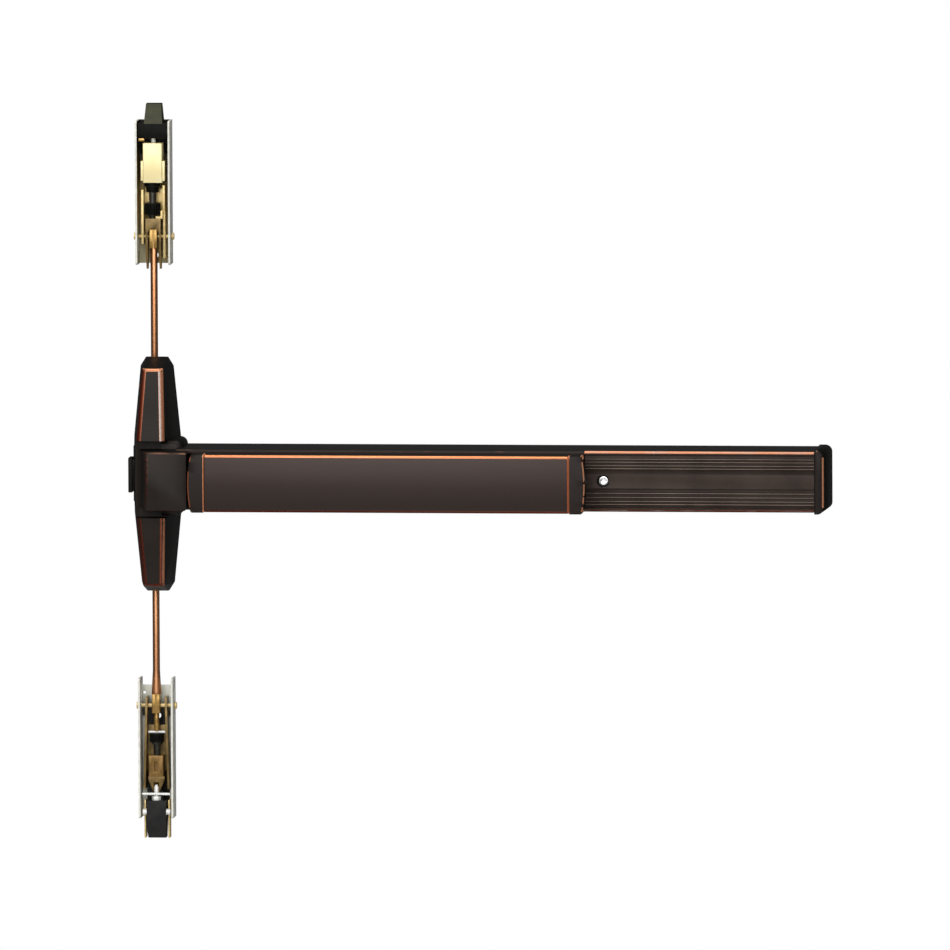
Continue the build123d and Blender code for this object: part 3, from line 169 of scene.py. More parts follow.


# Rubbed paint, with painted light and shade

# The wear from which copper shows and the wear at which the paint is gone, then the same for the
# pale painted highlight that follows the copper. RAGGED is how much the patches shift these edges.
RUBBED = (0.22, 0.8)
PAINTED_HIGHLIGHT = (1.3, 1.6)
PAINTED_HIGHLIGHT_COLOUR = "#aaa39e"
RAGGED = 0.5
PATCH_SIZE = 2.4
PATCH_STRETCH = (6, 1, 1)

# Painted light: the copper brightens towards LIGHT, through four colours at these heights
LIGHT = (0.9, 0.0, 1.0)
COPPER_STOPS = (0.3, 0.5, 0.66, 0.85)
COPPER_METALLIC = 0.6

# The paint's clouds in millimetres, and the normals' y at which the painted shade is full and at which
# the paint shows its own front colour
COAT_CLOUD = 26
SOFT_DETAIL = 2.0
TURNED_AWAY = -0.35
FACING_FRONT = -0.95
PAINT_GLOSS = 0.1


def rubbed_through(tree, worn):
    """How far the rubbing has gone, with a ragged edge."""
    rubbed = add_node(tree, "ShaderNodeAttribute", attribute_name=WEAR).outputs["Fac"]
    patches = clouds(tree, PATCH_SIZE, SOFT_DETAIL, PATCH_STRETCH)
    inputs = {0: patches, 1: RAGGED, 2: -RAGGED / 2}
    ragged = add_node(tree, "ShaderNodeMath", inputs, operation="MULTIPLY_ADD").outputs["Value"]
    inputs = {0: rubbed, 1: worn, 2: ragged}
    return add_node(tree, "ShaderNodeMath", inputs, operation="MULTIPLY_ADD").outputs["Value"]


def bare_metal(tree, facing, gone, bare):
    """The copper under the paint, with painted light: brighter where it faces the light, and a pale
    painted highlight past PAINTED_HIGHLIGHT.
    """
    inputs = {0: facing, 1: LIGHT}
    lift = add_node(tree, "ShaderNodeVectorMath", inputs, operation="DOT_PRODUCT").outputs["Value"]
    inputs = {"Value": lift, "From Min": -1.0}
    height = add_node(tree, "ShaderNodeMapRange", inputs).outputs["Result"]
    copper = add_node(tree, "ShaderNodeValToRGB", {"Fac": height}, hues(bare, COPPER_STOPS))
    inputs = {"Value": gone, "From Min": PAINTED_HIGHLIGHT[0], "From Max": PAINTED_HIGHLIGHT[1]}
    painted_highlight = add_node(tree, "ShaderNodeMapRange", inputs).outputs["Result"]
    mixed = {
        MIX_FACTOR: painted_highlight,
        MIX_FIRST: copper.outputs["Color"],
        MIX_SECOND: linear(PAINTED_HIGHLIGHT_COLOUR),
    }
    return add_node(tree, "ShaderNodeMix", mixed, data_type="RGBA").outputs[MIX_RESULT]


def coat(tree, facing, paint, turned_shade, stretch):
    """The paint's two colours in clouds, with painted shade: blacker on faces that turn from the
    front.
    """
    patina = clouds(tree, COAT_CLOUD, SOFT_DETAIL, stretch)
    coated = add_node(tree, "ShaderNodeValToRGB", {"Fac": patina}, hues(paint))
    forward = add_node(tree, "ShaderNodeSeparateXYZ", {"Vector": facing}).outputs["Y"]
    inputs = {"Value": forward, "From Min": TURNED_AWAY, "From Max": FACING_FRONT}
    front = add_node(tree, "ShaderNodeMapRange", inputs).outputs["Result"]
    mixed = {
        MIX_FACTOR: front,
        MIX_FIRST: linear(turned_shade),
        MIX_SECOND: coated.outputs["Color"],
    }
    return add_node(tree, "ShaderNodeMix", mixed, data_type="RGBA").outputs[MIX_RESULT]


def painted(
    name,
    paint,
    bare,
    roughness,
    metallic,
    grain,
    depth,
    stretch=(1, 1, 1),
    worn=1.0,
    turned_shade="#0b0a08",
):
    """Dark paint or anodising that is rubbed through to copper along the wear attribute.

    bare lists the copper's colours from corners that face down and left to corners that face up
    and right, painted light that is brightest where the corners face the lamps. worn is how far the
    rubbing has gone, and turned_shade is the blacker colour of faces that turn from the front,
    painted shade on flanks and grooves. grain and depth are in millimetres.
    """
    found = bpy.data.materials.get(name)
    if found:
        return found
    made, tree = fresh_material(name)
    grains = clouds(tree, grain, stretch=stretch)
    facing = add_node(tree, "ShaderNodeNewGeometry").outputs["Normal"]
    gone = rubbed_through(tree, worn)
    mask = add_node(tree, "ShaderNodeValToRGB", {"Fac": gone}, greys(0.0, 1.0, *RUBBED))
    bared = mask.outputs["Color"]
    rough = add_node(tree, "ShaderNodeValToRGB", {"Fac": grains}, greys(*roughness))
    stops = greys(metallic, COPPER_METALLIC, 0.0, 1.0)
    metal = add_node(tree, "ShaderNodeValToRGB", {"Fac": bared}, stops)
    mixed = {
        MIX_FACTOR: bared,
        MIX_FIRST: coat(tree, facing, paint, turned_shade, stretch),
        MIX_SECOND: bare_metal(tree, facing, gone, bare),
    }
    colour = add_node(tree, "ShaderNodeMix", mixed, data_type="RGBA").outputs[MIX_RESULT]
    inputs = {
        "Base Color": colour,
        "Roughness": rough.outputs["Color"],
        "Metallic": metal.outputs["Color"],
        "Specular IOR Level": PAINT_GLOSS,
    }
    close_material(tree, grains, depth, inputs)
    return made


# Plating with painted shade

# Lengths in millimetres. The painted shade streaks downwards, and fades out over FADE_ASIDE across
# the latch and over FADE_DOWN along it. FAR is further away than any place on the object.
SHADE_STOPS = (0.2, 0.45, 0.7, 0.95)
SHADE_STREAK = 5
SHADE_STRETCH = (1, 1, 9)
PLATING_ROUGHNESS = (0.34, 0.5)
PLATING_GLOSS = 0.2
PLATING_DEPTH = 0.003
SHADE_STREAKINESS = 0.5
FADE_ASIDE = 1
FADE_DOWN = 5
FAR = 1000
LATCH_X = -4.5 * MM


def painted_shade_level(tree, pale, dark, unshaded_below, unshaded_past):
    """How deep the painted shade lies, from a place's height and its distance from the latches'
    middle.
    """
    place = add_node(tree, "ShaderNodeTexCoord").outputs["Object"]
    spot = add_node(tree, "ShaderNodeSeparateXYZ", {"Vector": place}).outputs
    inputs = {"Value": spot["Z"], "From Min": pale * MM, "From Max": dark * MM}
    level = add_node(tree, "ShaderNodeMapRange", inputs).outputs["Result"]
    inputs = {0: spot["X"], 1: LATCH_X}
    aside = add_node(tree, "ShaderNodeMath", inputs, operation="SUBTRACT").outputs["Value"]
    away = add_node(tree, "ShaderNodeMath", {0: aside}, operation="ABSOLUTE").outputs["Value"]
    fade = (unshaded_past + FADE_ASIDE) * MM
    inputs = {"Value": away, "From Min": unshaded_past * MM, "From Max": fade}
    edge = add_node(tree, "ShaderNodeMapRange", inputs).outputs["Result"]
    fade = (unshaded_below - FADE_DOWN) * MM
    inputs = {"Value": spot["Z"], "From Min": unshaded_below * MM, "From Max": fade}
    low = add_node(tree, "ShaderNodeMapRange", inputs).outputs["Result"]
    inputs = {0: edge, 1: low}
    unshaded = add_node(tree, "ShaderNodeMath", inputs, operation="MULTIPLY").outputs["Value"]
    inputs = {0: level, 1: unshaded}
    return add_node(tree, "ShaderNodeMath", inputs, operation="SUBTRACT").outputs["Value"]


def oiled(name, colours, pale, dark, unshaded_below=-FAR, unshaded_past=FAR):
    """Plating darkened with painted shade from one height to another, both in millimetres.

    Below unshaded_below the shade keeps to the middle, within unshaded_past of the latches' centre
    line.
    """
    found = bpy.data.materials.get(name)
    if found:
        return found
    made, tree = fresh_material(name)
    shade_streaks = clouds(tree, SHADE_STREAK, stretch=SHADE_STRETCH)
    inputs = {0: shade_streaks, 1: SHADE_STREAKINESS, 2: painted_shade_level(tree, pale, dark, unshaded_below, unshaded_past)}
    shade_amount = add_node(tree, "ShaderNodeMath", inputs, operation="MULTIPLY_ADD").outputs["Value"]
    colour = add_node(tree, "ShaderNodeValToRGB", {"Fac": shade_amount}, hues(colours, SHADE_STOPS))
    rough = add_node(tree, "ShaderNodeValToRGB", {"Fac": shade_streaks}, greys(*PLATING_ROUGHNESS))
    inputs = {
        "Base Color": colour.outputs["Color"],
        "Roughness": rough.outputs["Color"],
        "Specular IOR Level": PLATING_GLOSS,
    }
    close_material(tree, shade_streaks, PLATING_DEPTH, inputs)
    return made


# Finishes

# The grains are finer than the picture's pixels and only soften the highlights. The bright
# plated pieces are set less metallic than they are, since the even studio light shows them pale.

# The bare copper's colours, from corners that face down and left to corners that face up and right:
# painted light, brighter where the corners face the lamps
COPPER = ("#5c2010", "#864630", "#a86e54", "#cc8a66")
PAD_COPPER = ("#4a1c10", "#9a5436", "#d0805a", "#e8925e")
CASE_COPPER = ("#3a1a12", "#8a4a34", "#c68462", "#d49472")
LIT_COPPER = ("#b86a48", "#e09068", "#e8986c", "#eca67c")

# How the grain is lengthened on what is drawn or extruded along the bar, and on the drawn rods
EXTRUDED = (60, 1, 1)
DRAWN = (90, 1, 1)
DRAWN_ROD = (1, 1, 40)


def dark_bronze():
    # Powder-coated casting in dark bronze: near black, faintly brown, satin, copper at its corners.
    return painted(
        "dark bronze paint", ("#241f1b", "#2a2420"), COPPER,
        roughness=(0.38, 0.46), metallic=0.0, grain=0.4, depth=0.006,
    )


def cap_bronze():
    # The caps of the pad and of the long case, painted and rubbed through along their rims. Their
    # copper is a brighter copy, painted light where the rims catch the lamps.
    return painted(
        "rubbed cap bronze", ("#272220", "#2c2624"), LIT_COPPER,
        roughness=(0.36, 0.46), metallic=0.1, grain=0.4, depth=0.006,
    )


def bronze_extrusion():
    # Anodised aluminium extrusion in dark bronze: fine lines run along it.
    return painted(
        "dark bronze anodised aluminium", ("#382f2c", "#3e3431"), PAD_COPPER,
        roughness=(0.3, 0.36), metallic=0.3, grain=0.25, depth=0.002, stretch=EXTRUDED,
    )


def case_bronze():
    # The long case: painted shade darkens its top and back, and a strong bare line runs along its
    # upper front corner.
    return painted(
        "dark bronze case", ("#2c2320", "#332a26"), CASE_COPPER,
        roughness=(0.42, 0.52), metallic=0.1, grain=0.3, depth=0.004, stretch=EXTRUDED,
        worn=1.3, turned_shade="#1a1918",
    )


def filler_band():
    # The filler's plain band: browner and duller than the pad, with fine lines drawn along it.
    return surface(
        "drawn bronze band", ("#3a312d", "#463b36"),
        roughness=(0.4, 0.5), metallic=0.2, blotch=30, grain=0.5, depth=0.004, stretch=DRAWN,
        gloss=0.1,
    )


def filler_ridge():
    # The filler's ridges, paler than the band: rubbed, and painted light where the crests catch the
    # lamps.
    return surface(
        "rubbed filler ridge with painted light", ("#78675d", "#907e72"),
        roughness=(0.34, 0.44), metallic=0.3, blotch=30, grain=0.5, depth=0.004, stretch=DRAWN,
        gloss=0.2,
    )


def filler_groove():
    # The filler's grooves and its hidden faces, darkened with painted shade.
    return surface(
        "painted shade in the grooves", ("#302824", "#3c332e"),
        roughness=(0.45, 0.55), metallic=0.1, blotch=30, grain=0.5, depth=0.004, stretch=DRAWN,
        gloss=0.1,
    )


def zinc_plate():
    # Zinc-plated steel sheet: pale grey with a soft cloudy spangle.
    return surface(
        "bright zinc plated steel", ("#c6c6ba", "#dededa"),
        roughness=(0.35, 0.5), metallic=0.1, blotch=9, grain=0.3, depth=0.004,
    )


def worn_zinc():
    # The sheared edge of plated sheet, brighter than its faces.
    return surface(
        "sheared zinc edge", ("#d6d4c8", "#eeece2"),
        roughness=(0.4, 0.5), metallic=0.0, blotch=5, grain=0.2, depth=0.004,
    )


def yellow_zinc():
    # Yellow-passivated zinc on steel: pale gold with a soft straw tint.
    return surface(
        "yellow zinc plated steel", ("#cdb070", "#e2cb90"),
        roughness=(0.28, 0.4), metallic=0.3, blotch=7, grain=0.3, depth=0.003,
    )


def pale_zinc():
    # Yellow zinc on the big block in the top latch, paler than on the rest: a lit copy, painted light
    # where the block catches the lamps.
    return surface(
        "pale gold zinc block", ("#f4e2a6", "#fbeebb"),
        roughness=(0.3, 0.42), metallic=0.15, blotch=18, grain=0.3, depth=0.003,
    )


def shaded_gold():
    # Yellow zinc darkened to olive gold: painted shade for the pieces inside the latches.
    return surface(
        "olive gold zinc", ("#64502a", "#8c7240"),
        roughness=(0.28, 0.42), metallic=0.5, blotch=8, grain=0.3, depth=0.004,
    )


def brass():
    # Turned brass: deeper gold than the plating, smooth and glossy.
    return surface(
        "turned brass", ("#96743c", "#c09a58"),
        roughness=(0.22, 0.36), metallic=0.6, blotch=6, grain=0.2, depth=0.003,
    )


def old_brass():
    # The lower block's duller, browner brass.
    return surface(
        "dull brass", ("#6a5024", "#8e6c38"),
        roughness=(0.3, 0.42), metallic=0.5, blotch=6, grain=0.2, depth=0.003,
    )


def black_steel():
    # Black oxide on steel: soft black with a slight olive sheen.
    return surface(
        "black oxide steel", ("#080806", "#0e0e0b"),
        roughness=(0.42, 0.55), metallic=0.0, blotch=6, grain=0.25, depth=0.006, gloss=0.08,
    )


def soft_black():
    # Corners of the blackened steel: only a shade lighter, faintly olive. On the top bolt's nose bevel
    # it is painted light, where the bevel faces the lamps above.
    return surface(
        "dulled black corner and lit nose", ("#38392b", "#43442f"),
        roughness=(0.45, 0.55), metallic=0.0, blotch=8, grain=0.25, depth=0.004, gloss=0.15,
    )


def satin_black():
    # The blunt lower bolt, blackened steel: smooth, and greyer than the rest.
    return surface(
        "satin black bolt", ("#1e1f1e", "#262725"),
        roughness=(0.42, 0.52), metallic=0.0, blotch=7, grain=0.25, depth=0.004, gloss=0.14,
    )


def bright_steel():
    # Polished steel of pins and rollers: nearly white in the studio's light.
    return surface(
        "polished steel", ("#e2e2df", "#f6f6f3"),
        roughness=(0.22, 0.34), metallic=0.1, blotch=4, grain=0.15, depth=0.002,
    )


def oiled_steel():
    # Stems and spools darkened with oil between the bright pieces.
    return surface(
        "oiled steel", ("#23211c", "#4a463d"),
        roughness=(0.25, 0.4), metallic=0.4, blotch=4, grain=0.2, depth=0.003,
    )


def mill_steel():
    # Plated steel stampings inside the casings.
    return surface(
        "plated steel stamping", ("#8e8f8b", "#aeb0aa"),
        roughness=(0.35, 0.5), metallic=0.7, blotch=8, grain=0.3, depth=0.006,
    )


def spring_wire():
    # Oiled music wire: dark grey and glossy.
    return surface(
        "oiled spring wire", ("#3c3c3d", "#5a5a5b"),
        roughness=(0.2, 0.34), metallic=0.9, blotch=3, grain=0.2, depth=0.002,
    )


def rod_bronze():
    # Copper-brown lacquer on the drawn rods: satin and even, with a bright line along the middle.
    return surface(
        "copper brown lacquered steel", ("#c4875c", "#d49a70"),
        roughness=(0.36, 0.38), metallic=1.0, blotch=60, grain=0.6, depth=0.0, stretch=DRAWN_ROD,
    )


def black_plastic():
    # Moulded black nylon, matte with a light orange-peel.
    return surface(
        "moulded black nylon", ("#0f0e0d", "#171513"),
        roughness=(0.5, 0.62), metallic=0.0, blotch=8, grain=0.5, depth=0.02, gloss=0.14,
    )


def white_head():
    # The dogging screw's bright head: it shows as a white dot in the filler's hole.
    return surface(
        "bright dogging screw", ("#f2f2f0", "#ffffff"),
        roughness=(0.26, 0.36), metallic=1.0, blotch=4, grain=0.15, depth=0.0005,
    )


def carrier_finish():
    # Plain mill-finish aluminium, darkened inside the pad.
    return surface(
        "darkened aluminium channel", ("#2c2927", "#393532"),
        roughness=(0.4, 0.55), metallic=0.4, blotch=20, grain=0.3, depth=0.006,
    )


def gold_inside():
    # The top case's inside: zinc tinted olive gold, a painted reflection of the brass pieces, with
    # painted shade going black behind the bolt.
    return oiled(
        "zinc with painted gold reflection and shade", ("#b4b096", "#a68f56", "#6e5a2c", "#120f08"), pale=205, dark=320
    )


def dark_inside():
    # The bottom case's back plate: pale above and aside, painted shade going black behind the pieces.
    return oiled(
        "zinc plating with painted shade", ("#e2e4da", "#d2d3c6", "#4a473c", "#171510"),
        pale=-192, dark=-226, unshaded_below=-213, unshaded_past=9.2,
    )


def white_paper(colour):
    # Matt white background paper: even, without any gloss.
    made = bpy.data.materials.new("matt white paper")
    made.use_nodes = True
    shader = made.node_tree.nodes["Principled BSDF"]
    shader.inputs["Base Color"].default_value = colour
    shader.inputs["Roughness"].default_value = 0.9
    return made


# Which finish goes where

# The finish of each slot's pieces and the finish of their rounded corners. None stands for a
# finish that shows its own rubbed corners through the wear attribute.
FINISHES = {
    "dark_bronze": (dark_bronze, None),
    "bronze_screw": (dark_bronze, None),
    "black_plastic": (black_plastic, black_plastic),
    "bronze_extrusion": (bronze_extrusion, None),
    "pad_carrier": (carrier_finish, carrier_finish),
    "steel_plate": (mill_steel, worn_zinc),
    "bright_steel": (bright_steel, bright_steel),
    "spring_steel": (spring_wire, spring_wire),
    "rod_bronze": (rod_bronze, rod_bronze),
    "zinc_plate": (zinc_plate, worn_zinc),
    "yellow_zinc": (yellow_zinc, yellow_zinc),
    "brass": (brass, brass),
    "black_steel": (black_steel, soft_black),
}

# Nodes that look different from the rest of their slot. A third finish is for marked faces.
SPECIAL = {
    "pad_cap_left": (cap_bronze, None),
    "pad_cap_right": (cap_bronze, None),
    "end_cap": (cap_bronze, None),
    "mechanism_case": (case_bronze, None),
    "filler": (filler_band, filler_groove, filler_ridge),
    "dogging_screw": (white_head, white_head),
    "dogging_plate": (black_plastic, black_plastic),
    "top_case": (zinc_plate, worn_zinc, gold_inside),
    "bottom_case": (zinc_plate, worn_zinc, dark_inside),
    "upper_block": (pale_zinc, pale_zinc),
    "upper_clevis": (shaded_gold, yellow_zinc),
    "lower_carriage": (shaded_gold, shaded_gold),
    "lower_wedge": (shaded_gold, shaded_gold),
    "lower_block": (old_brass, brass),
    "upper_stem": (oiled_steel, oiled_steel),
    "lower_spool": (oiled_steel, oiled_steel),
    "bottom_bolt": (satin_black, satin_black),
    "lower_nut": (bright_steel, bright_steel),
}

# A face looks along an axis when its normal has more than FACING of it, and NOSE_SLOPE does for
# the bevel of the top bolt. The depths are measured from the front of the node's box.
FACING = 0.5
NOSE_SLOPE = 0.2
RIM_DEPTH = 2 * MM
RIDGE_DEPTH = 0.5 * MM
BAND_HALF = 7 * MM


def case_side(face, box):
    """Which finish a latch case's face has: 1 on the sheared front rims, 2 on the back plate."""
    if face.normal.y > -FACING:
        return 0
    return 1 if face.calc_center_median().y < box[0][1] + RIM_DEPTH else 2


def lined_side(face, box):
    """As case_side, with the walls' insides finished like the back plate."""
    place = face.calc_center_median()
    outward = (place.x - (box[0][0] + box[1][0]) / 2) * face.normal.x
    if abs(face.normal.x) > FACING and outward < 0:
        return 2
    return case_side(face, box)


def filler_side(face, box):
    """Which finish the filler's face has: 0 on the band, 1 in the grooves, 2 on the ridges."""
    place = face.calc_center_median()
    if face.normal.y > -FACING or place.y > box[0][1] + RIDGE_DEPTH:
        return 1
    return 0 if abs(place.z) < BAND_HALF else 2


def on_nose(face, box):
    """Whether a face is the upward bevel of the top bolt's nose, which has the corners' lighter finish
    as painted light.
    """
    return face.normal.z > NOSE_SLOPE and face.normal.y < -NOSE_SLOPE


MARKED = {
    "top_case": lined_side,
    "bottom_case": case_side,
    "top_bolt": on_nose,
    "filler": filler_side,
}


# Where corners are rubbed

# A share of 1 bares the copper and a share of 2 adds a pale painted highlight on it. The lobes'
# long corners are cut into facets, told apart by the x of their normals. A facet runs up the lobe
# when its normal has less than UPRIGHT of z.
LOBE_START = 33.6 * MM
SADDLE_FRONT = -60 * MM
UPRIGHT = 0.45
FRONT_FACET = (0.03, 0.36)
MIDDLE_FACET = (0.36, 0.6)
HIGHLIGHT_SHARE = 2.0
UPPER_SHARE = 1.0
UPPER_MIDDLE_SHARE = 0.7
LOWER_SHARE = 0.7
LOWER_MIDDLE_SHARE = 0.2
SADDLE_SHARE = 0.28

# The pad caps' rims turn aside by more than RIM_TURN, and the end cap's outer corner starts at
# END_CORNER_X
RIM_TURN = 0.2
END_CORNER_X = 578 * MM
CAP_SHARE = 1.2

# The long case is cut behind the pad's right cap, so that its wear can change there
CASE_CUT = 376.7 * MM
COVERED_SHARE = 0.12

# How far a corner's point is moved into its face before its share is looked up
INWARD = 0.01


def cover_share(place, normal):
    """How far the centre cover is rubbed (lobes most, saddle little, collar not), with a painted
    highlight on the upper lobe.
    """
    if abs(place.z) <= LOBE_START:
        return SADDLE_SHARE if place.y < SADDLE_FRONT else 0.0
    upper = place.z > 0
    upright = abs(normal.z) < UPRIGHT
    # The front facet of the upper lobe's right corner gets the pale painted highlight
    if upper and upright and FRONT_FACET[0] < normal.x < FRONT_FACET[1]:
        return HIGHLIGHT_SHARE
    if upright and MIDDLE_FACET[0] <= abs(normal.x) < MIDDLE_FACET[1]:
        return UPPER_MIDDLE_SHARE if upper else LOWER_MIDDLE_SHARE
    return UPPER_SHARE if upper else LOWER_SHARE


def cap_share(place, normal):
    """The pad's end caps are rubbed along their bowed rims, not on top and below."""
    return CAP_SHARE if abs(normal.x) > RIM_TURN else 0.0


def end_share(place, normal):
    """The end cap is rubbed along its outer front corner only."""
    return CAP_SHARE if place.x > END_CORNER_X else 0.0


def case_share(place, normal):
    """The long case is rubbed where the pad doesn't cover it."""
    return 1.0 if place.x > CASE_CUT else COVERED_SHARE


SHARES = {
    "center_cover": cover_share,
    "pad_cap_left": cap_share,
    "pad_cap_right": cap_share,
    "end_cap": end_share,
    "mechanism_case": case_share,
}


# Meshes

# What tells one point, a flat face, a smooth one, a corner, a fillet and a chamfer apart
MERGE_DISTANCE = 0.004 * MM
FLAT_ANGLE = math.radians(0.6)
SMOOTH_ANGLE = math.radians(32)
CORNER_ANGLE = math.radians(50)
FILLET_ANGLES = (math.radians(6), math.radians(38))
CHAMFER_ANGLES = (math.radians(38), math.radians(62))
CHAMFER_WIDTH = 2.6 * MM
FACET_WIDTH = 0.75 * MM
CORNER_SEGMENTS = 3


def link_object(name, mesh, materials):
    """Puts a mesh in the scene under a name, with its materials."""
    made = bpy.data.objects.new(name, mesh)
    for material in materials:
        mesh.materials.append(material)
    bpy.context.scene.collection.objects.link(made)
    return made


def bake_modifiers(piece):
    """Turns a piece's modifiers into plain mesh."""
    bpy.context.view_layer.update()
    evaluated = piece.evaluated_get(bpy.context.evaluated_depsgraph_get())
    mesh = bpy.data.meshes.new_from_object(evaluated)
    piece.modifiers.clear()
    piece.data = mesh
    return mesh


def smooth(mesh):
    """Shades a mesh smooth, with its real corners kept sharp."""
    mesh.polygons.foreach_set("use_smooth", [True] * len(mesh.polygons))
    mesh.set_sharp_from_angle(angle=SMOOTH_ANGLE)


def welded(name):
    """A merged copy of a CAD node's mesh, with its flat faces joined up."""
    work = bmesh.new()
    work.from_mesh(frame["nodes"][name].data)
    bmesh.ops.remove_doubles(work, verts=work.verts, dist=MERGE_DISTANCE)
    bmesh.ops.dissolve_limit(
        work,
        angle_limit=FLAT_ANGLE,
        verts=work.verts,
        edges=work.edges,
        use_dissolve_boundaries=False,
    )
    return work


def convex_between(edge, low, high):
    """Whether an edge stands out with an angle between two limits."""
    return len(edge.link_faces) == 2 and low < edge.calc_face_angle_signed(0.0) < high


def width_of(face):
    """How wide a long face is."""
    return 2 * face.calc_area() / face.calc_perimeter()


def inside_fillet(edge):
    """Whether an edge runs between two narrow facets of a small rounded outer corner."""
    if not convex_between(edge, *FILLET_ANGLES):
        return False
    return all(face.material_index == 0 and width_of(face) < FACET_WIDTH for face in edge.link_faces)


def is_rounded(vertex):
    """Whether a vertex lies inside a rounded outer corner, not on the corner's border."""
    if any(inside_fillet(edge) for edge in vertex.link_edges):
        return True
    return all(face.material_index == 1 for face in vertex.link_faces)


def is_chamfer(face):
    """Whether a face is a narrow chamfer on an outer corner."""
    standing = [edge for edge in face.edges if convex_between(edge, *CHAMFER_ANGLES)]
    return len(standing) >= 2 and width_of(face) < CHAMFER_WIDTH


def rub(name, mesh):
    """Writes the wear attribute: rounded and chamfered outer corners get their share, flats none."""
    share = SHARES.get(name)
    work = bmesh.new()
    work.from_mesh(mesh)
    layer = work.loops.layers.float.new(WEAR)
    rounded = {vertex.index: is_rounded(vertex) for vertex in work.verts}
    for face in work.faces:
        chamfer = is_chamfer(face)
        narrow = width_of(face) < CHAMFER_WIDTH
        centre = face.calc_center_median()
        for loop in face.loops:
            worn = float(chamfer or (narrow and rounded[loop.vert.index]))
            if share:
                worn *= share(loop.vert.co.lerp(centre, INWARD), face.normal)
            loop[layer] = worn
        face.material_index = 0
    work.to_mesh(mesh)
    work.free()


def cad_copy(name):
    """A CAD node's mesh, its marked faces told apart and its sharp outer corners weighted."""
    work = welded(name)
    if name == "mechanism_case":
        parts = [*work.verts, *work.edges, *work.faces]
        bmesh.ops.bisect_plane(work, geom=parts, plane_co=(CASE_CUT, 0, 0), plane_no=(1, 0, 0))
    if name in MARKED:
        for face in work.faces:
            face.material_index = int(MARKED[name](face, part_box(name)))
    weight = work.edges.layers.float.new("bevel_weight_edge")
    for edge in work.edges:
        if convex_between(edge, CORNER_ANGLE, math.pi):
            edge[weight] = 1.0
    mesh = bpy.data.meshes.new(name + "_finished")
    work.to_mesh(mesh)
    work.free()
    return mesh


def round_corners(piece, width):
    """Rounds the weighted corners off, width millimetres wide, in the second material."""
    bevel = piece.modifiers.new("rubbed corners", "BEVEL")
    bevel.limit_method = "WEIGHT"
    bevel.width = width * MM
    bevel.segments = CORNER_SEGMENTS
    bevel.material = 1
    bevel.miter_outer = "MITER_SHARP"
    bevel.use_clamp_overlap = True
    return bake_modifiers(piece)


def dress(name, width):
    """Stands a finished copy for a CAD node, with corners rounded width millimetres wide."""
    finish, corner, *marked = SPECIAL.get(name, FINISHES[SLOTS[name]])
    materials = [made() for made in (finish, corner or finish, *marked)]
    piece = link_object(name + "_finished", cad_copy(name), materials)
    mesh = round_corners(piece, width)
    if corner is None:
        rub(name, mesh)
    smooth(mesh)
    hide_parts(name)
    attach(piece, BODIES[name])


def dress_group(names, width):
    """Finishes several nodes with the same corner width."""
    for name in names:
        dress(name, width)


# Geometry node trees

FLOAT = "NodeSocketFloat"
INTEGER = "NodeSocketInt"
WIRE_SIDES = 8
STEPS_A_TURN = 20
RIDGE_SIDES = 10
RIDGE_HEIGHT = 0.86


def grown_tree(name, inputs):
    """An empty geometry tree with named inputs, and its input node's sockets."""
    tree = bpy.data.node_groups.new(name, "GeometryNodeTree")
    for label, kind in {**inputs, "Material": "NodeSocketMaterial"}.items():
        tree.interface.new_socket(name=label, in_out="INPUT", socket_type=kind)
    tree.interface.new_socket(name="Geometry", in_out="OUTPUT", socket_type="NodeSocketGeometry")
    return tree, add_node(tree, "NodeGroupInput").outputs


def close_tree(tree, given, geometry):
    """Ends a tree in real, finished geometry."""
    real = add_node(tree, "GeometryNodeRealizeInstances", {"Geometry": geometry}).outputs["Geometry"]
    inputs = {"Geometry": real, "Material": given["Material"]}
    finished = add_node(tree, "GeometryNodeSetMaterial", inputs).outputs["Geometry"]
    add_node(tree, "NodeGroupOutput", {"Geometry": finished})
    return tree


def coil_tree():
    """Wire wound to a helix, for springs and for screw threads."""
    name = "wound wire"
    if name in bpy.data.node_groups:
        return bpy.data.node_groups[name]
    sizes = {"Radius": FLOAT, "Height": FLOAT, "Wire Radius": FLOAT, "Turns": FLOAT, "Steps": INTEGER}
    tree, given = grown_tree(name, sizes)
    inputs = {
        "Resolution": given["Steps"],
        "Rotations": given["Turns"],
        "Start Radius": given["Radius"],
        "End Radius": given["Radius"],
        "Height": given["Height"],
    }
    helix = add_node(tree, "GeometryNodeCurveSpiral", inputs).outputs["Curve"]
    inputs = {"Resolution": WIRE_SIDES, "Radius": given["Wire Radius"]}
    ring = add_node(tree, "GeometryNodeCurvePrimitiveCircle", inputs).outputs["Curve"]
    inputs = {"Curve": helix, "Profile Curve": ring, "Fill Caps": True}
    wire = add_node(tree, "GeometryNodeCurveToMesh", inputs).outputs["Mesh"]
    return close_tree(tree, given, wire)


def ridge_tree():
    """Small round ridges set upright round a knob."""
    name = "ridges round a knob"
    if name in bpy.data.node_groups:
        return bpy.data.node_groups[name]
    sizes = {"Radius": FLOAT, "Height": FLOAT, "Ridge Radius": FLOAT, "Count": INTEGER}
    tree, given = grown_tree(name, sizes)
    inputs = {"Resolution": given["Count"], "Radius": given["Radius"]}
    ring = add_node(tree, "GeometryNodeCurvePrimitiveCircle", inputs).outputs["Curve"]
    inputs = {"Vertices": RIDGE_SIDES, "Radius": given["Ridge Radius"], "Depth": given["Height"]}
    ridge = add_node(tree, "GeometryNodeMeshCylinder", inputs).outputs["Mesh"]
    inputs = {"Points": ring, "Instance": ridge}
    ridges = add_node(tree, "GeometryNodeInstanceOnPoints", inputs).outputs["Instances"]
    return close_tree(tree, given, ridges)


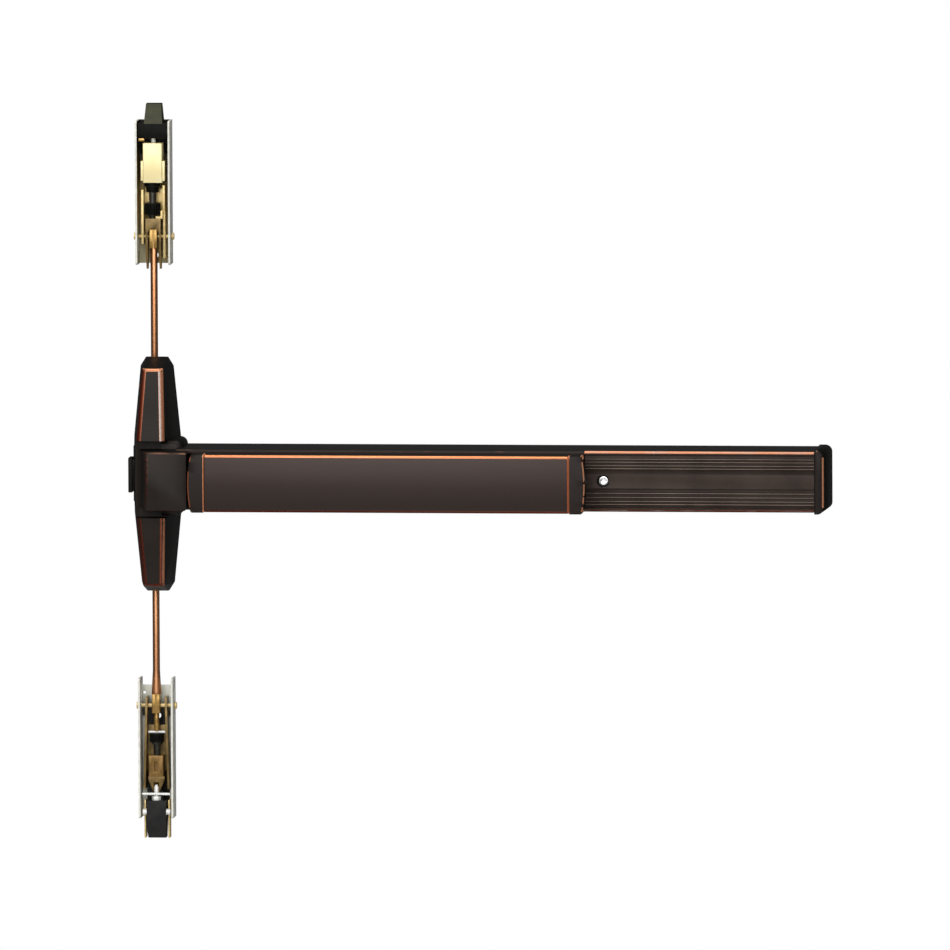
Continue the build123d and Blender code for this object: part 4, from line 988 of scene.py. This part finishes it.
def grow(name, tree, values, place, body):
    """Runs a tree once and keeps its result as a plain mesh at a place, riding on a body."""
    piece = link_object(name, bpy.data.meshes.new(name), ())
    modifier = piece.modifiers.new("grown", "NODES")
    modifier.node_group = tree
    for item in tree.interface.items_tree:
        if item.in_out == "INPUT":
            modifier[item.identifier] = values[item.name]
    mesh = bake_modifiers(piece)
    mesh.transform(Matrix.Translation(place))
    smooth(mesh)
    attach(piece, body)
    return piece


def wind(name, node, turns, wire, finish, crest=False):
    """A helix round a node's own axis and as high as it, wire millimetres thick.

    A spring's wire keeps inside the node. A thread's crest stands half out of the node, and
    stops a wire's thickness short of its ends.
    """
    low, high = (Vector(corner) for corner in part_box(node))
    radius = wire * MM / 2
    inset = wire * MM if crest else 0.0
    values = {
        "Radius": (high.x - low.x) / 2 - (0.0 if crest else radius),
        "Height": high.z - low.z - 2 * radius - 2 * inset,
        "Wire Radius": radius,
        "Turns": turns,
        "Steps": STEPS_A_TURN,
        "Material": finish(),
    }
    place = Vector(((low.x + high.x) / 2, (low.y + high.y) / 2, low.z + radius + inset))
    return grow(name, coil_tree(), values, place, BODIES[node])


def knurl(node, count, ridge):
    """Ridges round a knob, each ridge millimetres thick."""
    low, high = (Vector(corner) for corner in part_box(node))
    finish = FINISHES[SLOTS[node]][0]
    values = {
        "Radius": (high.x - low.x) / 2,
        "Height": (high.z - low.z) * RIDGE_HEIGHT,
        "Ridge Radius": ridge * MM / 2,
        "Count": count,
        "Material": finish(),
    }
    grow(node + "_ridges", ridge_tree(), values, (low + high) / 2, BODIES[node])


# Sizes and colours


class ExitDeviceSizes(bpy.types.PropertyGroup):
    """Sizes of the finish and of the view."""

    casing_corner: bpy.props.FloatProperty(
        name="Casing corner",
        description="Width of the rubbed corner on casings, in millimetres",
        default=0.9,
        min=0.05,
    )
    cap_corner: bpy.props.FloatProperty(
        name="Cap corner",
        description="Width of the rubbed rim on the end caps, in millimetres",
        default=2.0,
        min=0.05,
    )
    small_corner: bpy.props.FloatProperty(
        name="Small corner",
        description="Width of the rubbed corner on small pieces, in millimetres",
        default=0.18,
        min=0.02,
    )
    spring_turns: bpy.props.IntProperty(
        name="Spring turns", description="Turns of each return spring", default=9, min=3
    )
    spring_wire: bpy.props.FloatProperty(
        name="Spring wire", description="Thickness of the spring wire, in millimetres", default=1.05
    )
    thread: bpy.props.FloatProperty(
        name="Thread", description="Thickness of a thread's crest, in millimetres", default=0.5
    )
    ridge: bpy.props.FloatProperty(
        name="Ridge", description="Thickness of a knob's ridge, in millimetres", default=0.9
    )
    azimuth: bpy.props.FloatProperty(
        name="Camera azimuth",
        description="Camera's turn to the object's right",
        default=math.radians(5.7),
        subtype="ANGLE",
    )
    elevation: bpy.props.FloatProperty(
        name="Camera elevation",
        description="Camera's height above the horizon",
        default=math.radians(5.4),
        subtype="ANGLE",
    )
    roll: bpy.props.FloatProperty(
        name="Camera roll",
        description="Camera's turn about its own line of sight",
        default=0.0048,
        subtype="ANGLE",
    )
    distance: bpy.props.FloatProperty(
        name="Camera distance", description="Camera to object", default=25.0, unit="LENGTH"
    )
    frame_width: bpy.props.FloatProperty(
        name="Framed width",
        description="Width that the picture takes in",
        default=0.8218,
        unit="LENGTH",
    )


class ExitDeviceColours(bpy.types.PropertyGroup):
    """Colours of the stage."""

    floor: bpy.props.FloatVectorProperty(
        name="Floor",
        description="The floor's colour",
        default=linear("#eeeeec"),
        size=4,
        subtype="COLOR",
    )


# Pieces

# The springs with the joints that squeeze them, and which of their ends stays: 0 low or 1 high
SPRINGS = (("upper_spring", "upper_rod_slide", 0), ("lower_spring", "lower_rod_slide", 1))

# The threaded pieces with their turns and finishes, and the knobs with their ridges
THREADS = (("upper_stem", 17, oiled_steel), ("lower_barrel", 7, brass))
KNOBS = (("upper_knob", 24), ("lower_knob", 22))


class EXITDEVICE_OT_centre_case(bpy.types.Operator):
    """Finishes the centre case, its plug, its screws and its base plate"""

    bl_idname = "exit_device.centre_case"
    bl_label = "Centre Case"

    def execute(self, context):
        sizes = context.scene.exit_device_sizes
        dress("center_cover", sizes.casing_corner)
        dress_group(("side_plug", "cover_screws", "base_plate"), sizes.small_corner)
        return {"FINISHED"}


class EXITDEVICE_OT_mechanism(bpy.types.Operator):
    """Finishes the rocker, slides, cranks, link and dogging pieces, and the end bracket"""

    bl_idname = "exit_device.mechanism"
    bl_label = "Mechanism"

    def execute(self, context):
        names = (
            "rocker_pivot", "rocker", "crank_brackets", "crank_pivots", "crank_left", "crank_right",
            "link_bar", "upper_slide", "lower_slide", "upper_rod_block", "lower_rod_block",
            "dogging_plate", "dogging_screw", "end_bracket",
        )
        dress_group(names, context.scene.exit_device_sizes.small_corner)
        return {"FINISHED"}


class EXITDEVICE_OT_mechanism_case(bpy.types.Operator):
    """Finishes the long case, its grooved filler, its end cap and the cap's screw"""

    bl_idname = "exit_device.mechanism_case"
    bl_label = "Mechanism Case"

    def execute(self, context):
        sizes = context.scene.exit_device_sizes
        dress("mechanism_case", sizes.small_corner)
        dress("filler", sizes.small_corner)
        dress("end_cap", sizes.cap_corner)
        dress("end_screw", sizes.small_corner)
        return {"FINISHED"}


class EXITDEVICE_OT_push_pad(bpy.types.Operator):
    """Finishes the push pad, its two end caps and its carrier"""

    bl_idname = "exit_device.push_pad"
    bl_label = "Push Pad"

    def execute(self, context):
        sizes = context.scene.exit_device_sizes
        dress("pad_plate", sizes.casing_corner)
        dress_group(("pad_cap_left", "pad_cap_right"), sizes.cap_corner)
        dress("pad_carrier", sizes.small_corner)
        return {"FINISHED"}


class EXITDEVICE_OT_rods(bpy.types.Operator):
    """Finishes the two rods with their springs"""

    bl_idname = "exit_device.rods"
    bl_label = "Rods and Springs"

    def execute(self, context):
        sizes = context.scene.exit_device_sizes
        dress_group(("upper_rod", "lower_rod"), sizes.small_corner)
        for node, joint, fixed in SPRINGS:
            coil = wind(node + "_coil", node, sizes.spring_turns, sizes.spring_wire, spring_wire)
            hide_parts(node)
            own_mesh(coil)
        return {"FINISHED"}


class EXITDEVICE_OT_latches(bpy.types.Operator):
    """Finishes the two open latch cases and what slides in them"""

    bl_idname = "exit_device.latches"
    bl_label = "Latches"

    def execute(self, context):
        names = (
            "top_case", "bottom_case", "upper_pin", "lower_pin", "upper_connector", "lower_connector",
            "upper_clevis", "upper_knob", "upper_stem", "upper_dome", "upper_carriage", "upper_trip",
            "upper_block", "top_bolt_stem", "top_bolt", "top_bolt_tab", "lower_carriage",
            "lower_cross_pins", "lower_barrel", "lower_knob", "lower_spool", "lower_block",
            "lower_wedge", "lower_acorn", "lower_nut", "lower_rollers", "bottom_bolt", "bottom_cheeks",
        )
        sizes = context.scene.exit_device_sizes
        dress_group(names, sizes.small_corner)
        for node, turns, finish in THREADS:
            wind(node + "_thread", node, turns, sizes.thread, finish, crest=True)
        for node, ridges in KNOBS:
            knurl(node, ridges, sizes.ridge)
        return {"FINISHED"}


# Stage

TARGET = Vector((0.276, 0.0, -0.0002))
SENSOR = 36.0
CLIP_END = 60.0
FLOOR_Z = -0.62
FLOOR_RADIUS = 1.25
FLOOR_SEGMENTS = 96

# The world's strength where the camera sees it, and as light on the object
BACKDROP = 1.0
FILL = 0.08

# Each lamp's name, place, width and height in metres, and power in watts
LAMPS = (
    ("front softbox", (-0.05, -2.95, 0.62), (2.6, 1.4), 46),
    ("key softbox", (-0.5, -2.2, 2.0), (1.6, 0.8), 34),
    ("top softbox", (0.3, 0.1, 2.4), (2.2, 0.7), 36),
    ("right strip", (1.55, -1.95, 1.3), (0.3, 1.2), 10),
)


def axes_of_view(azimuth, elevation, roll):
    """The camera's right, up and back directions."""
    right = Vector((math.cos(azimuth), math.sin(azimuth), 0))
    up = Vector(
        (
            -math.sin(azimuth) * math.sin(elevation),
            math.cos(azimuth) * math.sin(elevation),
            math.cos(elevation),
        )
    )
    back = right.cross(up)
    turn = Matrix.Rotation(-roll, 3, back)
    return turn @ right, turn @ up, back


def aimed(position, target):
    """A world matrix at a position, looking at a target."""
    turn = (Vector(target) - Vector(position)).to_track_quat("-Z", "Y").to_matrix().to_4x4()
    return Matrix.Translation(Vector(position)) @ turn


def make_floor(colour):
    """A round sheet of paper under the object."""
    work = bmesh.new()
    bmesh.ops.create_circle(work, cap_ends=True, radius=FLOOR_RADIUS, segments=FLOOR_SEGMENTS)
    bmesh.ops.translate(work, verts=work.verts, vec=(TARGET.x, 0, FLOOR_Z))
    mesh = bpy.data.meshes.new("floor")
    work.to_mesh(mesh)
    work.free()
    paper = white_paper(colour)
    link_object("floor", mesh, (paper,))


def area_lamp(name, position, size, power):
    """A soft rectangular lamp that looks at the object."""
    data = bpy.data.lights.new(name, "AREA")
    data.shape = "RECTANGLE"
    data.size, data.size_y = size
    data.energy = power
    lamp = bpy.data.objects.new(name, data)
    lamp.matrix_world = aimed(position, TARGET)
    bpy.context.scene.collection.objects.link(lamp)


def make_world(scene):
    """A white world, bright for the camera only."""
    world = bpy.data.worlds.new("white studio")
    scene.world = world
    world.use_nodes = True
    tree = world.node_tree
    tree.nodes.clear()
    seen = add_node(tree, "ShaderNodeLightPath").outputs["Is Camera Ray"]
    inputs = {0: seen, 1: BACKDROP - FILL, 2: FILL}
    strength = add_node(tree, "ShaderNodeMath", inputs, operation="MULTIPLY_ADD").outputs["Value"]
    inputs = {"Color": (1.0, 1.0, 1.0, 1.0), "Strength": strength}
    glow = add_node(tree, "ShaderNodeBackground", inputs).outputs["Background"]
    add_node(tree, "ShaderNodeOutputWorld", {"Surface": glow})


def make_camera(scene):
    """A camera far away with a long lens, at the photograph's viewing angle."""
    sizes = scene.exit_device_sizes
    data = bpy.data.cameras.new("camera")
    data.sensor_width = SENSOR
    data.lens = SENSOR * sizes.distance / sizes.frame_width
    data.clip_end = CLIP_END
    camera = bpy.data.objects.new("camera", data)
    right, up, back = axes_of_view(sizes.azimuth, sizes.elevation, sizes.roll)
    turn = Matrix((right, up, back)).transposed().to_4x4()
    camera.matrix_world = Matrix.Translation(TARGET + back * sizes.distance) @ turn
    scene.collection.objects.link(camera)
    scene.camera = camera


class EXITDEVICE_OT_stage(bpy.types.Operator):
    """Makes the floor, the lamps, the world and the camera"""

    bl_idname = "exit_device.stage"
    bl_label = "Stage"

    def execute(self, context):
        scene = context.scene
        make_floor(scene.exit_device_colours.floor)
        for lamp in LAMPS:
            area_lamp(*lamp)
        make_world(scene)
        make_camera(scene)
        scene.view_settings.view_transform = "Standard"
        return {"FINISHED"}


class EXITDEVICE_PT_panel(bpy.types.Panel):
    """Lists the exit device's pieces, sizes and colours"""

    bl_label = "Exit Device"
    bl_idname = "EXITDEVICE_PT_panel"
    bl_space_type = "VIEW_3D"
    bl_region_type = "UI"
    bl_category = "Exit Device"

    def draw(self, context):
        for group in (context.scene.exit_device_sizes, context.scene.exit_device_colours):
            for name in group.__annotations__:
                self.layout.prop(group, name)
        for operator in OPERATORS:
            self.layout.operator(operator.bl_idname)


OPERATORS = (
    EXITDEVICE_OT_centre_case,
    EXITDEVICE_OT_mechanism,
    EXITDEVICE_OT_mechanism_case,
    EXITDEVICE_OT_push_pad,
    EXITDEVICE_OT_rods,
    EXITDEVICE_OT_latches,
    EXITDEVICE_OT_stage,
)
CLASSES = (ExitDeviceSizes, ExitDeviceColours, *OPERATORS, EXITDEVICE_PT_panel)


def register():
    for cls in CLASSES:
        bpy.utils.register_class(cls)
    bpy.types.Scene.exit_device_sizes = bpy.props.PointerProperty(type=ExitDeviceSizes)
    bpy.types.Scene.exit_device_colours = bpy.props.PointerProperty(type=ExitDeviceColours)


def unregister():
    del bpy.types.Scene.exit_device_colours
    del bpy.types.Scene.exit_device_sizes
    for cls in reversed(CLASSES):
        bpy.utils.unregister_class(cls)


def main():
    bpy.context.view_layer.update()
    register()
    for operator in OPERATORS:
        group, name = operator.bl_idname.split(".")
        getattr(getattr(bpy.ops, group), name)()


if __name__ == "__main__":
    main()
